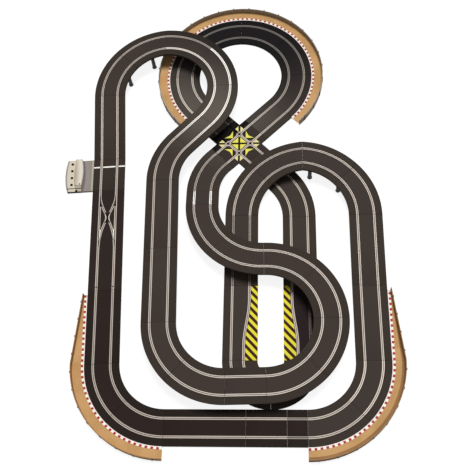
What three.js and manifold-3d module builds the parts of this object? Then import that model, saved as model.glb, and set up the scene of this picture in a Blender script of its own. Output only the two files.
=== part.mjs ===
import * as THREE from 'three';
import { mergeVertices } from 'three/addons/utils/BufferGeometryUtils.js';
import Module from 'manifold-3d';

const wasm = await Module();
wasm.setup();

// Track deck, millimetres
const trackWidth = 156;
const laneSpacing = 78;
const narrowSpacing = 55;
const deckHeight = 11;
const deckSkin = 3;
const skirtWall = 2;
const slotWidth = 3;
const slotDepth = 7.5;
const channelWall = 1.75;
const channelFloor = 1.5;
const railWidth = 5;
const railProud = 0.4;
const jointGap = 0.3;

// Standard section lengths and bends
const fullStraight = 350;
const halfStraight = 175;
const quarterStraight = 87.5;
const linkStraight = 78;
const changerLength = 525;
const curveRadius = 292;
const hairpinRadius = curveRadius - trackWidth;
const crossingArm = 117;
const curveTurn = 45;
const hairpinTurn = 90;
const cornerFlex = 1.55;
const stepsPerTurn = 3;
const hairpinSteps = 6;
const swipeSteps = 5;

// Tongue that links one section to the next
const tongueWidth = 18;
const tongueThick = 3;
const tongueRoot = 12;
const tongueReach = 9;
const tongueBite = 1;
const tongueDrop = 3;

// Flyover heights, counted in pier levels
const levelHeight = 8.5;
const pierFootRadius = 12;
const pierFootHeight = 3;
const pierShoulder = 4;
const pierRadius = 10;
const pierTopRadius = 9;
const pierInset = 19;
const ownPierInset = 8;
const ownPierSlide = 0.05;
const pierMinHeight = 22;
const pierClearance = 4;
const pierSides = 8;
const pierSetback = 14;

// Borders, kerbs and barriers
const borderWidth = 58;
const kerbWidth = 13;
const kerbRise = 1;
const barrierThick = 2.4;
const barrierHeight = 27;
const barrierInset = 1.6;
const postSpacing = 84;
const postThick = 3.4;
const postWidth = 7;
const postRise = 2;
const leadShare = 0.94;
const seatGap = 0.3;

// Lane changer, distances from the start of its section
const crossoverStart = 180;
const crossoverCentre = 374;
const crossoverEnd = 500;
const crossoverSteps = 9;
const frogClear = 14;
const flipperPivotAt = 306;
const flipperLength = 52;
const flipperTipRadius = 0.9;
const flipperEndRadius = 3.4;
const flipperThick = 4;
const flipperRun = 0.35;
const flipperSwing = 3.6;
const pivotRadius = 1.8;
const pivotLength = 3.4;
const bossMargin = 4;
const sensorAt = 15;
const sensorRadius = 4.2;
const sensorDepth = 1;

// Crossing
const crossRailClear = 9;

// Power base beside its half straight
const plateauWidth = 56;
const plateauHeight = 12;
const coverWidth = 85;
const coverHeight = 22;
const coverBulge = 13;
const coverBevel = 2.5;
const lipLength = 16;
const lipHeight = 15;
const ridgeHeight = 5;
const ridgeWidth = 33;
const ridgeBulge = 11;
const ridgeFromFront = 28;
const ridgeInset = 2;
const buttonCount = 4;
const buttonPitch = 39;
const buttonRadius = 6;
const buttonFromEdge = 37;
const buttonShift = 6;
const buttonProud = 2;
const buttonDepth = 8;
const buttonEase = 1;
const buttonTravel = 1.5;
const buttonRun = 0.3;
const ledRadius = 2.5;
const ledDepth = 4;
const ledFromRidge = 5;
const inletWidth = 12;
const inletTall = 9;
const inletDepth = 12;
const inletFromEdge = 60;

// Fineness of round pieces, and how far joined and cutting forms run past a face
const roundSides = 12;
const wedgeFineness = 4;
const coverFineness = 6;
const overcut = 1;

const toRadians = Math.PI / 180;
const halfWidth = trackWidth / 2;
const laneOffset = laneSpacing / 2;
const narrowOffset = narrowSpacing - laneOffset;
const halfGap = jointGap / 2;

// Paints and plastics
function finish(color, roughness, metalness = 0) {
  return new THREE.MeshStandardMaterial({ color, roughness, metalness });
}
const deckBlack = finish(0x3a3330, 0.78);
const pierGrey = finish(0x34322f, 0.7);
const borderTan = finish(0xbd9357, 0.8);
const barrierGrey = finish(0x9c9a94, 0.55);
const baseBeige = finish(0xcbc4b4, 0.5);
const baseGrey = finish(0x8f8a80, 0.6);
const buttonBlack = finish(0x17130f, 0.45);
const flipperCream = finish(0xd8c48c, 0.35);
const ledRed = finish(0x7d1a16, 0.25);

// Solids are joined and cut here; every form is drawn with three.js
function toSolid(geometry) {
  const bare = geometry.clone();
  bare.deleteAttribute('normal');
  bare.deleteAttribute('uv');
  const merged = mergeVertices(bare, 1e-4);
  const mesh = new wasm.Mesh({
    numProp: 3,
    vertProperties: new Float32Array(merged.attributes.position.array),
    triVerts: new Uint32Array(merged.index.array),
  });
  return new wasm.Manifold(mesh);
}

function fromSolid(solid) {
  const mesh = solid.getMesh();
  const geometry = new THREE.BufferGeometry();
  geometry.setAttribute('position', new THREE.BufferAttribute(new Float32Array(mesh.vertProperties), 3));
  geometry.setIndex(new THREE.BufferAttribute(new Uint32Array(mesh.triVerts), 1));
  return geometry;
}

function join(geometries) {
  return geometries.map(toSolid).reduce((whole, piece) => whole.add(piece));
}

// A closed skin through one outline per station; outlines run anticlockwise seen from ahead
function sweep(stations, outlineAt) {
  const outlines = stations.map(outlineAt);
  const count = outlines[0].length;
  const positions = [];
  stations.forEach((station, i) => {
    const sin = Math.sin(station.heading);
    const cos = Math.cos(station.heading);
    for (const [u, v] of outlines[i]) {
      positions.push(station.x - u * sin, station.y + u * cos, station.z + v);
    }
  });
  const indices = [];
  for (let i = 0; i + 1 < stations.length; i += 1) {
    for (let j = 0; j < count; j += 1) {
      const a = i * count + j;
      const b = i * count + ((j + 1) % count);
      indices.push(a, b, b + count, a, b + count, a + count);
    }
  }
  const cap = (outline) => {
    const points = outline.map(([u, v]) => new THREE.Vector2(u, v));
    return THREE.ShapeUtils.triangulateShape(points, []);
  };
  const last = (stations.length - 1) * count;
  for (const [a, b, c] of cap(outlines[0])) {
    indices.push(c, b, a);
  }
  for (const [a, b, c] of cap(outlines[outlines.length - 1])) {
    indices.push(last + a, last + b, last + c);
  }
  const geometry = new THREE.BufferGeometry();
  geometry.setAttribute('position', new THREE.Float32BufferAttribute(positions, 3));
  geometry.setIndex(indices);
  return geometry;
}

// Sections of the circuit, in driving order from the crossing's south-east arm
const straight = (length) => ({ length, turn: 0, steps: 1 });
const curve = (radius, degrees, steps) => ({
  length: radius * Math.abs(degrees) * toRadians,
  turn: degrees * toRadians,
  steps,
});
const right = (flex = 0) => curve(curveRadius, -curveTurn + flex, stepsPerTurn);
const left = (flex = 0) => curve(curveRadius, curveTurn + flex, stepsPerTurn);
const hairpin = () => curve(hairpinRadius, -hairpinTurn, hairpinSteps);

function poseAlong(start, piece, distance) {
  if (piece.turn === 0) {
    return {
      x: start.x + distance * Math.cos(start.heading),
      y: start.y + distance * Math.sin(start.heading),
      heading: start.heading,
    };
  }
  const radius = piece.length / piece.turn;
  const heading = start.heading + distance / radius;
  return {
    x: start.x + radius * (Math.sin(heading) - Math.sin(start.heading)),
    y: start.y - radius * (Math.cos(heading) - Math.cos(start.heading)),
    heading,
  };
}

// The two sections at the corner open out a little; the fifteen raised bends take that turn back
const innerCurves = 15;
const innerFlex = (-2 * cornerFlex) / innerCurves;

function circuitSections(diagonal, descent) {
  const down = right(innerFlex);
  const up = left(innerFlex);
  return [
    ['esses_exit', straight(halfStraight), 0],
    ['esses_curve', right(), 0],
    ['infield_down', straight(fullStraight), 0],
    ['side_swipe_in', { ...straight(fullStraight), steps: swipeSteps }, 0],
    ['hairpin_in', hairpin(), 0],
    ['hairpin_out', hairpin(), 0],
    ['side_swipe_out', { ...straight(fullStraight), steps: swipeSteps }, 0],
    ['infield_up', straight(fullStraight), 2],
    ['bridge_rise_a', right(), 5],
    ['bridge_rise_b', right(), 9],
    ['bridge_fall_a', right(), 5],
    ['bridge_fall_b', right(), 2],
    ['right_straight_a', straight(fullStraight), 0],
    ['right_straight_b', straight(fullStraight), 0],
    ['right_corner_a', right(), 0],
    ['right_corner_b', right(), 0],
    ['bottom_quarter', straight(quarterStraight), 0],
    ['bottom_half', straight(halfStraight), 0],
    ['bottom_full', straight(fullStraight), 0],
    ['left_corner_a', right(cornerFlex), 0],
    ['left_corner_b', right(cornerFlex), 0],
    ['left_straight', straight(fullStraight), 0],
    ['lane_changer', straight(changerLength), 0],
    ['power_track', straight(halfStraight), 0],
    ['flyover_ramp', straight(fullStraight), 6],
    ['flyover_1', down, 8],
    ['flyover_2', down, 10],
    ['flyover_3', down, 10],
    ['flyover_4', down, 10],
    ['flyover_5', down, 10],
    ['flyover_diagonal', straight(diagonal), 10],
    ['flyover_6', up, 10],
    ['flyover_long_a', straight(descent / 2), 10],
    ['flyover_long_b', straight(descent / 2), 10],
    ['flyover_7', up, 10],
    ['flyover_8', up, 10],
    ['flyover_half', straight(halfStraight), 10],
    ['flyover_9', up, 10],
    ['flyover_10', up, 10],
    ['flyover_11', up, 10],
    ['flyover_12', up, 9],
    ['flyover_13', down, 8],
    ['flyover_14', down, 6],
    ['descent_link', straight(linkStraight), 5],
    ['descent_curve', down, 0],
  ];
}

function endOf(sections, start) {
  return sections.reduce((pose, [, piece]) => poseAlong(pose, piece, piece.length), start);
}

// The diagonal and the long flyover straights get the lengths that close the circuit
const armReach = crossingArm * Math.SQRT1_2;
const southEast = { x: armReach, y: -armReach, heading: -curveTurn * toRadians };
const southWest = { x: -armReach, y: -armReach };
function closingLengths() {
  const bare = endOf(circuitSections(0, 0), southEast);
  const withDiagonal = endOf(circuitSections(1, 0), southEast);
  const withDescent = endOf(circuitSections(0, 1), southEast);
  const d = [withDiagonal.x - bare.x, withDiagonal.y - bare.y];
  const e = [withDescent.x - bare.x, withDescent.y - bare.y];
  const miss = [southWest.x - bare.x, southWest.y - bare.y];
  const determinant = d[0] * e[1] - d[1] * e[0];
  return [
    (miss[0] * e[1] - miss[1] * e[0]) / determinant,
    (d[0] * miss[1] - d[1] * miss[0]) / determinant,
  ];
}

const loopLead = curveRadius - crossingArm;
const loopSections = [
  ['loop_lead_in', straight(loopLead), 0],
  ['loop_1', left(), 0],
  ['loop_2', left(), 0],
  ['loop_3', left(), 0],
  ['loop_4', left(), 0],
  ['loop_5', left(), 0],
  ['loop_6', left(), 0],
  ['loop_lead_out', straight(loopLead), 0],
];

// A route knows the place, heading and height at any distance along its sections
function makeRoute(sections, start) {
  const spans = new Map();
  const list = [];
  let pose = { ...start, z: 0 };
  let travelled = 0;
  for (const [name, piece, level] of sections) {
    const span = { name, piece, start: pose, from: travelled, to: travelled + piece.length };
    span.endZ = level * levelHeight;
    spans.set(name, span);
    list.push(span);
    pose = { ...poseAlong(pose, piece, piece.length), z: span.endZ };
    travelled = span.to;
  }
  const at = (distance) => {
    const span = list.find((each) => distance <= each.to) ?? list[list.length - 1];
    const local = distance - span.from;
    const share = Math.min(Math.max(local / span.piece.length, 0), 1);
    const z = span.start.z + (span.endZ - span.start.z) * share;
    return { ...poseAlong(span.start, span.piece, local), z, distance };
  };
  return { spans, list, at };
}

const [diagonalLength, descentLength] = closingLengths();
const circuit = makeRoute(circuitSections(diagonalLength, descentLength), southEast);
const loopStart = { x: armReach, y: armReach, heading: curveTurn * toRadians };
const loop = makeRoute(loopSections, loopStart);

// Stations along neighbouring sections, with half the joint gap left at both ends
function stationsOf(route, names) {
  const distances = [];
  names.forEach((name, n) => {
    const span = route.spans.get(name);
    for (let i = n === 0 ? 0 : 1; i <= span.piece.steps; i += 1) {
      distances.push(span.from + (span.piece.length * i) / span.piece.steps);
    }
  });
  distances[0] += halfGap;
  distances[distances.length - 1] -= halfGap;
  return distances.map(route.at);
}

// Lane offsets across the deck, left positive; the side swipes ease the inner lane outwards
const smooth = (t) => t * t * (3 - 2 * t);
function lanesAt(route, distance) {
  const shareOf = (name) => {
    const span = route.spans.get(name);
    return span ? Math.min(Math.max((distance - span.from) / span.piece.length, 0), 1) : 0;
  };
  const squeeze = smooth(shareOf('side_swipe_in')) - smooth(shareOf('side_swipe_out'));
  return [laneOffset, (laneOffset - narrowOffset) * squeeze - laneOffset];
}

const bandHalf = slotWidth / 2 + railWidth;
const channelHalf = slotWidth / 2 + channelWall;
const skinUnder = deckHeight - deckSkin;
const channelUnder = deckHeight - slotDepth - channelFloor;

function slotEdge(lane) {
  const half = slotWidth / 2;
  const top = deckHeight + railProud;
  const floor = deckHeight - slotDepth;
  return [
    [lane + bandHalf, deckHeight], [lane + half, top], [lane + half, floor],
    [lane - half, floor], [lane - half, top], [lane - bandHalf, deckHeight],
  ];
}

function channelEdge(lane) {
  return [
    [lane - channelHalf, skinUnder], [lane - channelHalf, channelUnder],
    [lane + channelHalf, channelUnder], [lane + channelHalf, skinUnder],
  ];
}

function deckOutline([leftLane, rightLane]) {
  const inside = halfWidth - skirtWall;
  return [
    [-halfWidth, 0], [-inside, 0], [-inside, skinUnder],
    ...channelEdge(rightLane), ...channelEdge(leftLane),
    [inside, skinUnder], [inside, 0], [halfWidth, 0], [halfWidth, deckHeight],
    ...slotEdge(leftLane), ...slotEdge(rightLane),
    [-halfWidth, deckHeight],
  ];
}

function rectangle(low, high, bottom, top) {
  return [[low, bottom], [high, bottom], [high, top], [low, top]];
}

// The tongue grows from under the skin and reaches beneath the next section's skin
function tongue(route, end) {
  const stations = [route.at(end - tongueRoot), route.at(end + tongueReach)];
  const tops = [skinUnder + tongueBite, skinUnder - tongueDrop];
  const bottom = skinUnder - tongueDrop - tongueThick;
  return sweep(stations, (station, i) => rectangle(-tongueWidth / 2, tongueWidth / 2, bottom, tops[i]));
}

// Piers stand clear of every deck and border that runs below them
const loopBends = ['loop_1', 'loop_2', 'loop_3', 'loop_4', 'loop_5', 'loop_6'];
const rightEdge = ['right_straight_b', 'right_corner_a', 'right_corner_b'];
const leftEdge = ['left_corner_a', 'left_corner_b', 'left_straight'];
const borderedLeft = [...rightEdge, ...leftEdge];
const footprint = [];
for (const route of [circuit, loop]) {
  for (const span of route.list) {
    const side = Number(borderedLeft.includes(span.name)) - Number(loopBends.includes(span.name));
    const steps = Math.ceil(span.piece.length / pierFootRadius);
    for (let i = 0; i <= steps; i += 1) {
      footprint.push({ ...route.at(span.from + (span.piece.length * i) / steps), side });
    }
  }
}
const pierMargin = pierFootRadius + pierClearance;
function blocks(deck, x, y, top) {
  const dx = x - deck.x;
  const dy = y - deck.y;
  const along = dx * Math.cos(deck.heading) + dy * Math.sin(deck.heading);
  const across = dy * Math.cos(deck.heading) - dx * Math.sin(deck.heading);
  const leftReach = halfWidth + (deck.side > 0 ? borderWidth : 0) + pierMargin;
  const rightReach = halfWidth + (deck.side < 0 ? borderWidth : 0) + pierMargin;
  const beside = across > -rightReach && across < leftReach;
  return deck.z < top - pierMinHeight && beside && Math.abs(along) < 2 * pierFootRadius;
}
function clearOfDecks(x, y, top) {
  const arms = Math.hypot(x, y) > Math.hypot(crossingArm, halfWidth) + pierMargin;
  return arms && !footprint.some((deck) => blocks(deck, x, y, top));
}

function turned(profile, sides, x, y) {
  const geometry = new THREE.LatheGeometry(profile.map(([r, z]) => new THREE.Vector2(r, z)), sides);
  geometry.rotateX(Math.PI / 2);
  geometry.translate(x, y, 0);
  return geometry;
}
function beside(station, u) {
  return [station.x - u * Math.sin(station.heading), station.y + u * Math.cos(station.heading)];
}
function pier([x, y], height) {
  return turned([
    [0, 0], [pierFootRadius, 0], [pierFootRadius, pierFootHeight],
    [pierRadius, pierFootHeight + pierShoulder], [pierTopRadius, height], [0, height],
  ], pierSides, x, y);
}
function pierUnder(station, side) {
  if (station.z < pierMinHeight) {
    return [];
  }
  const offsets = [0, side * (halfWidth - pierInset)];
  const place = offsets.map((u) => beside(station, u)).find(([x, y]) => clearOfDecks(x, y, station.z));
  return place ? [pier(place, station.z + deckHeight - deckSkin / 2)] : [];
}

const part = new THREE.Group();
part.name = 'slot_car_track_set';
function addNode(name, geometry, material) {
  const mesh = new THREE.Mesh(geometry, material);
  mesh.name = name;
  part.add(mesh);
  return mesh;
}

// Piers that show beside a bend are pieces of their own, each at a share of its section.
// One that would stand on a border or deck slides back along its section
const ownPiers = {
  pier_flyover_1: ['flyover_1', 0.63],
  pier_flyover_2: ['flyover_2', 0.57],
  pier_bridge_1: ['bridge_fall_a', 0.2],
  pier_bridge_2: ['bridge_fall_b', 0.1],
};
const pierOwners = Object.values(ownPiers).map(([name]) => name);
for (const [name, [owner, wantedShare]] of Object.entries(ownPiers)) {
  const span = circuit.spans.get(owner);
  const u = Math.sign(span.piece.turn) * (halfWidth - ownPierInset);
  let share = wantedShare;
  let station = circuit.at(span.from + span.piece.length * share);
  while (share > 0 && !clearOfDecks(...beside(station, u), station.z)) {
    share -= ownPierSlide;
    station = circuit.at(span.from + span.piece.length * share);
  }
  const around = [-pierFootRadius, pierFootRadius].map((shift) => circuit.at(station.distance + shift));
  const deck = sweep(around, () => rectangle(u - pierRadius, u + pierRadius, -seatGap, 2 * deckHeight));
  const column = pier(beside(station, u), station.z + deckHeight);
  addNode(name, fromSolid(toSolid(column).subtract(toSolid(deck))), pierGrey);
}

function deckNode(name, route, names) {
  const spans = names.map((each) => route.spans.get(each));
  const deck = sweep(stationsOf(route, names), (station) => deckOutline(lanesAt(route, station.distance)));
  const piers = spans.filter((span) => !pierOwners.includes(span.name))
    .flatMap((span) => pierUnder(route.at(span.to - pierSetback), Math.sign(span.piece.turn) || 1));
  addNode(name, fromSolid(join([deck, tongue(route, spans[spans.length - 1].to), ...piers])), deckBlack);
}

const circuitNodes = {
  esses_exit: ['esses_exit', 'esses_curve'],
  infield_straight_down: ['infield_down'],
  side_swipe_entry: ['side_swipe_in'],
  hairpin_entry: ['hairpin_in'],
  hairpin_exit: ['hairpin_out'],
  side_swipe_exit: ['side_swipe_out'],
  infield_straight_up: ['infield_up'],
  bridge_rise: ['bridge_rise_a', 'bridge_rise_b'],
  bridge_fall: ['bridge_fall_a', 'bridge_fall_b'],
  right_straight_upper: ['right_straight_a'],
  right_straight_lower: ['right_straight_b'],
  right_corner: ['right_corner_a', 'right_corner_b'],
  bottom_quarter_straight: ['bottom_quarter'],
  bottom_half_straight: ['bottom_half'],
  bottom_straight: ['bottom_full'],
  left_corner: ['left_corner_a', 'left_corner_b'],
  left_straight: ['left_straight'],
  power_track: ['power_track'],
  flyover_ramp: ['flyover_ramp'],
  flyover_curve_1: ['flyover_1', 'flyover_2'],
  flyover_curve_2: ['flyover_3', 'flyover_4'],
  flyover_curve_3: ['flyover_5', 'flyover_diagonal'],
  flyover_curve_4: ['flyover_6'],
  flyover_straight_1: ['flyover_long_a'],
  flyover_straight_2: ['flyover_long_b'],
  flyover_curve_5: ['flyover_7', 'flyover_8'],
  flyover_half_straight: ['flyover_half'],
  flyover_curve_6: ['flyover_9', 'flyover_10'],
  flyover_curve_7: ['flyover_11', 'flyover_12'],
  flyover_curve_8: ['flyover_13', 'flyover_14'],
  descent_curve: ['descent_link', 'descent_curve'],
};
for (const [name, names] of Object.entries(circuitNodes)) {
  deckNode(name, circuit, names);
}
const loopNodes = {
  loop_lead_in: ['loop_lead_in', 'loop_1'],
  loop_curve_right: ['loop_2', 'loop_3'],
  loop_curve_top: ['loop_4', 'loop_5'],
  loop_lead_out: ['loop_6', 'loop_lead_out'],
};
for (const [name, names] of Object.entries(loopNodes)) {
  deckNode(name, loop, names);
}

// Crossing: two decks at a right angle, cut by four slots
function slab(points, bottom, top) {
  const shape = new THREE.Shape(points.map(([x, y]) => new THREE.Vector2(x, y)));
  const geometry = new THREE.ExtrudeGeometry(shape, { depth: top - bottom, bevelEnabled: false });
  geometry.translate(0, 0, bottom);
  return geometry;
}
function block(x0, x1, y0, y1, bottom, top) {
  return slab([[x0, y0], [x1, y0], [x1, y1], [x0, y1]], bottom, top);
}
function plus(half, reach) {
  return [
    [half, -reach], [half, -half], [reach, -half], [reach, half], [half, half], [half, reach],
    [-half, reach], [-half, half], [-reach, half], [-reach, -half], [-half, -half], [-half, -reach],
  ];
}
function crossing() {
  const reach = crossingArm - halfGap;
  const slotHalf = slotWidth / 2;
  const far = reach + overcut;
  let body = toSolid(slab(plus(halfWidth, reach), 0, deckHeight));
  body = body.subtract(toSolid(slab(plus(halfWidth - skirtWall, far), -overcut, skinUnder)));
  const strip = (crosswise, from, to, middle, half, bottom, top) => toSolid(crosswise
    ? block(middle - half, middle + half, from, to, bottom, top)
    : block(from, to, middle - half, middle + half, bottom, top));
  const stretches = [
    [-reach, -laneOffset - crossRailClear],
    [-laneOffset + crossRailClear, laneOffset - crossRailClear],
    [laneOffset + crossRailClear, reach],
  ];
  const lanes = [false, true].flatMap((crosswise) => [[crosswise, laneOffset], [crosswise, -laneOffset]]);
  for (const [crosswise, lane] of lanes) {
    body = body.add(strip(crosswise, -reach, reach, lane, channelHalf, channelUnder, skinUnder + overcut));
    for (const [from, to] of stretches) {
      const rails = strip(crosswise, from, to, lane, bandHalf, deckHeight - overcut, deckHeight + railProud);
      body = body.add(rails);
    }
  }
  for (const [crosswise, lane] of lanes) {
    const floor = deckHeight - slotDepth;
    body = body.subtract(strip(crosswise, -far, far, lane, slotHalf, floor, deckHeight + overcut));
  }
  const geometry = fromSolid(body);
  geometry.rotateZ(curveTurn * toRadians);
  return geometry;
}
const crossingSolid = toSolid(crossing());
const armTongue = (start) => {
  const arm = makeRoute([['arm', straight(crossingArm), 0], ['next', straight(halfStraight), 0]], start);
  return toSolid(tongue(arm, crossingArm));
};
const armHeadings = [curveTurn * toRadians, -curveTurn * toRadians];
const armTongues = armHeadings.map((heading) => armTongue({ x: 0, y: 0, heading }));
const crossingWhole = armTongues.reduce((whole, piece) => whole.add(piece), crossingSolid);
addNode('crossing', fromSolid(crossingWhole), deckBlack);

// Lane changer: straight slots plus two that swap lanes, with a flipper at each parting
function frameOf(span) {
  const frame = new THREE.Matrix4().makeRotationZ(span.start.heading - Math.PI / 2);
  frame.setPosition(span.start.x, span.start.y, 0);
  return frame;
}
const changerSpan = circuit.spans.get('lane_changer');
const skew = Math.log(0.5) / Math.log((crossoverCentre - crossoverStart) / (crossoverEnd - crossoverStart));
function crossoverOffset(distance) {
  const share = Math.min(Math.max((distance - crossoverStart) / (crossoverEnd - crossoverStart), 0), 1);
  return laneOffset * Math.cos(Math.PI * share ** skew);
}
function localPath(from, to, steps, offset) {
  const stations = [];
  for (let i = 0; i <= steps; i += 1) {
    const distance = from + ((to - from) * i) / steps;
    const slope = (offset(distance + overcut) - offset(distance - overcut)) / (2 * overcut);
    stations.push({ x: -offset(distance), y: distance, z: 0, heading: Math.PI / 2 + Math.atan(slope) });
  }
  return stations;
}
function ribbon(from, to, steps, offset, half, bottom, top) {
  return toSolid(sweep(localPath(from, to, steps, offset), () => rectangle(-half, half, bottom, top)));
}
function wedge(grow) {
  const tip = flipperTipRadius + grow;
  const butt = flipperEndRadius + grow;
  const lean = Math.asin((butt - tip) / flipperLength);
  const shape = new THREE.Shape();
  shape.absarc(0, 0, butt, -lean, Math.PI + lean, false);
  shape.absarc(0, -flipperLength, tip, Math.PI + lean, 2 * Math.PI - lean, false);
  return shape;
}
function wedgeSlab(grow, bottom, top) {
  const settings = { depth: top - bottom, bevelEnabled: false, curveSegments: wedgeFineness };
  const geometry = new THREE.ExtrudeGeometry(wedge(grow), settings);
  geometry.translate(0, 0, bottom);
  return geometry;
}
function peg(radius, bottom, top) {
  const geometry = new THREE.CylinderGeometry(radius, radius, top - bottom, roundSides);
  geometry.rotateX(Math.PI / 2);
  geometry.translate(0, 0, (bottom + top) / 2);
  return geometry;
}
const flipperTop = deckHeight + railProud;
const flipperBottom = flipperTop - flipperThick;
const pivotOffset = (laneOffset + crossoverOffset(flipperPivotAt)) / 2;
const restLean = Math.atan((pivotOffset - crossoverOffset(flipperPivotAt - flipperLength)) / flipperLength);
function atPivot(geometry, side, degrees) {
  geometry.rotateZ(side * (restLean + degrees * toRadians));
  geometry.translate(-side * pivotOffset, flipperPivotAt, 0);
  return geometry;
}
function laneChanger() {
  const start = halfGap;
  const end = changerLength - halfGap;
  const ahead = (lane) => () => lane;
  const inside = halfWidth - skirtWall;
  const clear = flipperTop + overcut;
  let body = ribbon(start, end, 1, ahead(0), halfWidth, 0, deckHeight);
  body = body.subtract(ribbon(start - overcut, end + overcut, 1, ahead(0), inside, -overcut, skinUnder));
  const slots = [];
  for (const side of [1, -1]) {
    slots.push({ from: start, to: end, steps: 1, offset: ahead(side * laneOffset), over: overcut });
    const swap = (distance) => side * crossoverOffset(distance);
    slots.push({ from: crossoverStart, to: crossoverEnd, steps: crossoverSteps, offset: swap, over: 0 });
  }
  for (const { from, to, steps, offset } of slots) {
    body = body.add(ribbon(from, to, steps, offset, channelHalf, channelUnder, skinUnder + overcut));
    body = body.add(ribbon(from, to, steps, offset, bandHalf, deckHeight - overcut, flipperTop));
  }
  const near = flipperPivotAt - flipperLength - bossMargin;
  const margin = flipperEndRadius + bossMargin;
  for (const middle of [pivotOffset, -pivotOffset]) {
    const far = flipperPivotAt + margin;
    const boss = block(middle - margin, middle + margin, near, far, channelUnder, skinUnder + overcut);
    body = body.add(toSolid(boss));
  }
  const frogs = [crossoverCentre - 2 * frogClear, crossoverCentre + 2 * frogClear];
  body = body.subtract(toSolid(block(-frogClear, frogClear, ...frogs, deckHeight, clear)));
  for (const { from, to, steps, offset, over } of slots) {
    const floor = deckHeight - slotDepth;
    body = body.subtract(ribbon(from - over, to + over, steps, offset, slotWidth / 2, floor, clear));
  }
  for (const side of [1, -1]) {
    for (const swing of [0, flipperSwing / 2, flipperSwing]) {
      const pocket = wedgeSlab(flipperRun, flipperBottom - flipperRun, clear);
      body = body.subtract(toSolid(atPivot(pocket, side, swing)));
    }
    const hole = peg(pivotRadius + flipperRun, flipperBottom - pivotLength - flipperRun, flipperBottom);
    body = body.subtract(toSolid(atPivot(hole, side, 0)));
    const eye = peg(sensorRadius, deckHeight - sensorDepth, clear);
    eye.translate(side * laneOffset, sensorAt, 0);
    body = body.subtract(toSolid(eye));
  }
  return body;
}
const changerFrame = frameOf(changerSpan);
const changerGeometry = fromSolid(laneChanger());
changerGeometry.applyMatrix4(changerFrame);
const changerSolid = toSolid(changerGeometry).add(toSolid(tongue(circuit, changerSpan.to)));
addNode('lane_changer', fromSolid(changerSolid), deckBlack);
for (const [name, side] of [['flipper_left', 1], ['flipper_right', -1]]) {
  const blade = wedgeSlab(0, flipperBottom, flipperTop);
  const pivot = peg(pivotRadius, flipperBottom - pivotLength, flipperBottom + overcut);
  const geometry = atPivot(fromSolid(join([blade, pivot])), side, 0);
  geometry.applyMatrix4(changerFrame);
  addNode(name, geometry, flipperCream);
}

// Power base: a low deck beside the power track, and a raised cover with its buttons
const powerFrame = frameOf(circuit.spans.get('power_track'));
const plateauRight = -halfWidth - seatGap;
const plateauLeft = plateauRight - plateauWidth;
const coverRight = plateauLeft - seatGap;
const coverLeft = coverRight - coverWidth;
const baseStart = halfGap;
const baseEnd = halfStraight - halfGap;
function bowed(leftX, rightX, start, end, bulge, rightBulge) {
  const shape = new THREE.Shape();
  const middle = (start + end) / 2;
  shape.moveTo(leftX + bulge, start);
  shape.lineTo(rightX - rightBulge, start);
  shape.quadraticCurveTo(rightX + rightBulge, middle, rightX - rightBulge, end);
  shape.lineTo(leftX + bulge, end);
  shape.quadraticCurveTo(leftX - bulge, middle, leftX + bulge, start);
  return shape;
}
function moulded(shape, bottom, top, bevel) {
  const geometry = new THREE.ExtrudeGeometry(shape, {
    depth: top - bottom - bevel,
    bevelEnabled: true,
    bevelThickness: bevel,
    bevelSize: bevel,
    bevelOffset: -bevel,
    bevelSegments: 1,
    curveSegments: coverFineness,
  });
  geometry.translate(0, 0, bottom);
  return geometry;
}
function inPowerFrame(solid) {
  const geometry = fromSolid(solid);
  geometry.applyMatrix4(powerFrame);
  return geometry;
}
const plateau = block(plateauLeft, plateauRight, baseStart, baseEnd, 0, plateauHeight);
addNode('power_base_deck', inPowerFrame(toSolid(plateau)), baseGrey);

// The cover has a low front lip, and a ridge whose bowed side hangs over the low deck
const coverShape = bowed(coverLeft, coverRight, baseStart, baseEnd, coverBulge, 0);
const ridgeRight = coverRight + ridgeBulge;
const ridgeStart = baseStart + ridgeFromFront;
const ridgeEnd = baseEnd - ridgeInset;
const ridgeShape = bowed(coverRight - ridgeWidth, ridgeRight, ridgeStart, ridgeEnd, 0, ridgeBulge);
const ridgeTop = coverHeight + ridgeHeight;
const ridgeBottom = plateauHeight + seatGap;
const below = block(coverLeft - coverBulge, coverRight + coverBulge, 0, halfStraight, -2 * coverBevel, 0);
const lipEnd = baseStart + lipLength;
const front = block(coverLeft, coverRight + overcut, 0, lipEnd, lipHeight, coverHeight + overcut);
let cover = toSolid(moulded(coverShape, -coverBevel, coverHeight, coverBevel)).subtract(toSolid(below));
cover = cover.subtract(toSolid(front));
cover = cover.add(toSolid(moulded(ridgeShape, ridgeBottom - coverBevel, ridgeTop, coverBevel))
  .subtract(toSolid(block(coverLeft, ridgeRight, ridgeStart, ridgeEnd, 0, ridgeBottom))));

const buttonX = coverLeft + buttonFromEdge;
const buttonMiddle = halfStraight / 2 + buttonShift;
const buttonY = (i) => buttonMiddle + (i - (buttonCount - 1) / 2) * buttonPitch;
const buttonBottom = coverHeight - buttonDepth;
const buttonTop = coverHeight + buttonProud;
const wellBottom = buttonBottom - buttonTravel - buttonRun;
for (let i = 0; i < buttonCount; i += 1) {
  const well = peg(buttonRadius + buttonRun, wellBottom, coverHeight + overcut);
  well.translate(buttonX, buttonY(i), 0);
  cover = cover.subtract(toSolid(well));
  const button = turned([
    [0, buttonBottom], [buttonRadius, buttonBottom], [buttonRadius, buttonTop - buttonEase],
    [buttonRadius - buttonEase, buttonTop], [0, buttonTop],
  ], roundSides, buttonX, buttonY(i));
  addNode(`button_${i + 1}`, inPowerFrame(toSolid(button)), buttonBlack);
}

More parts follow.
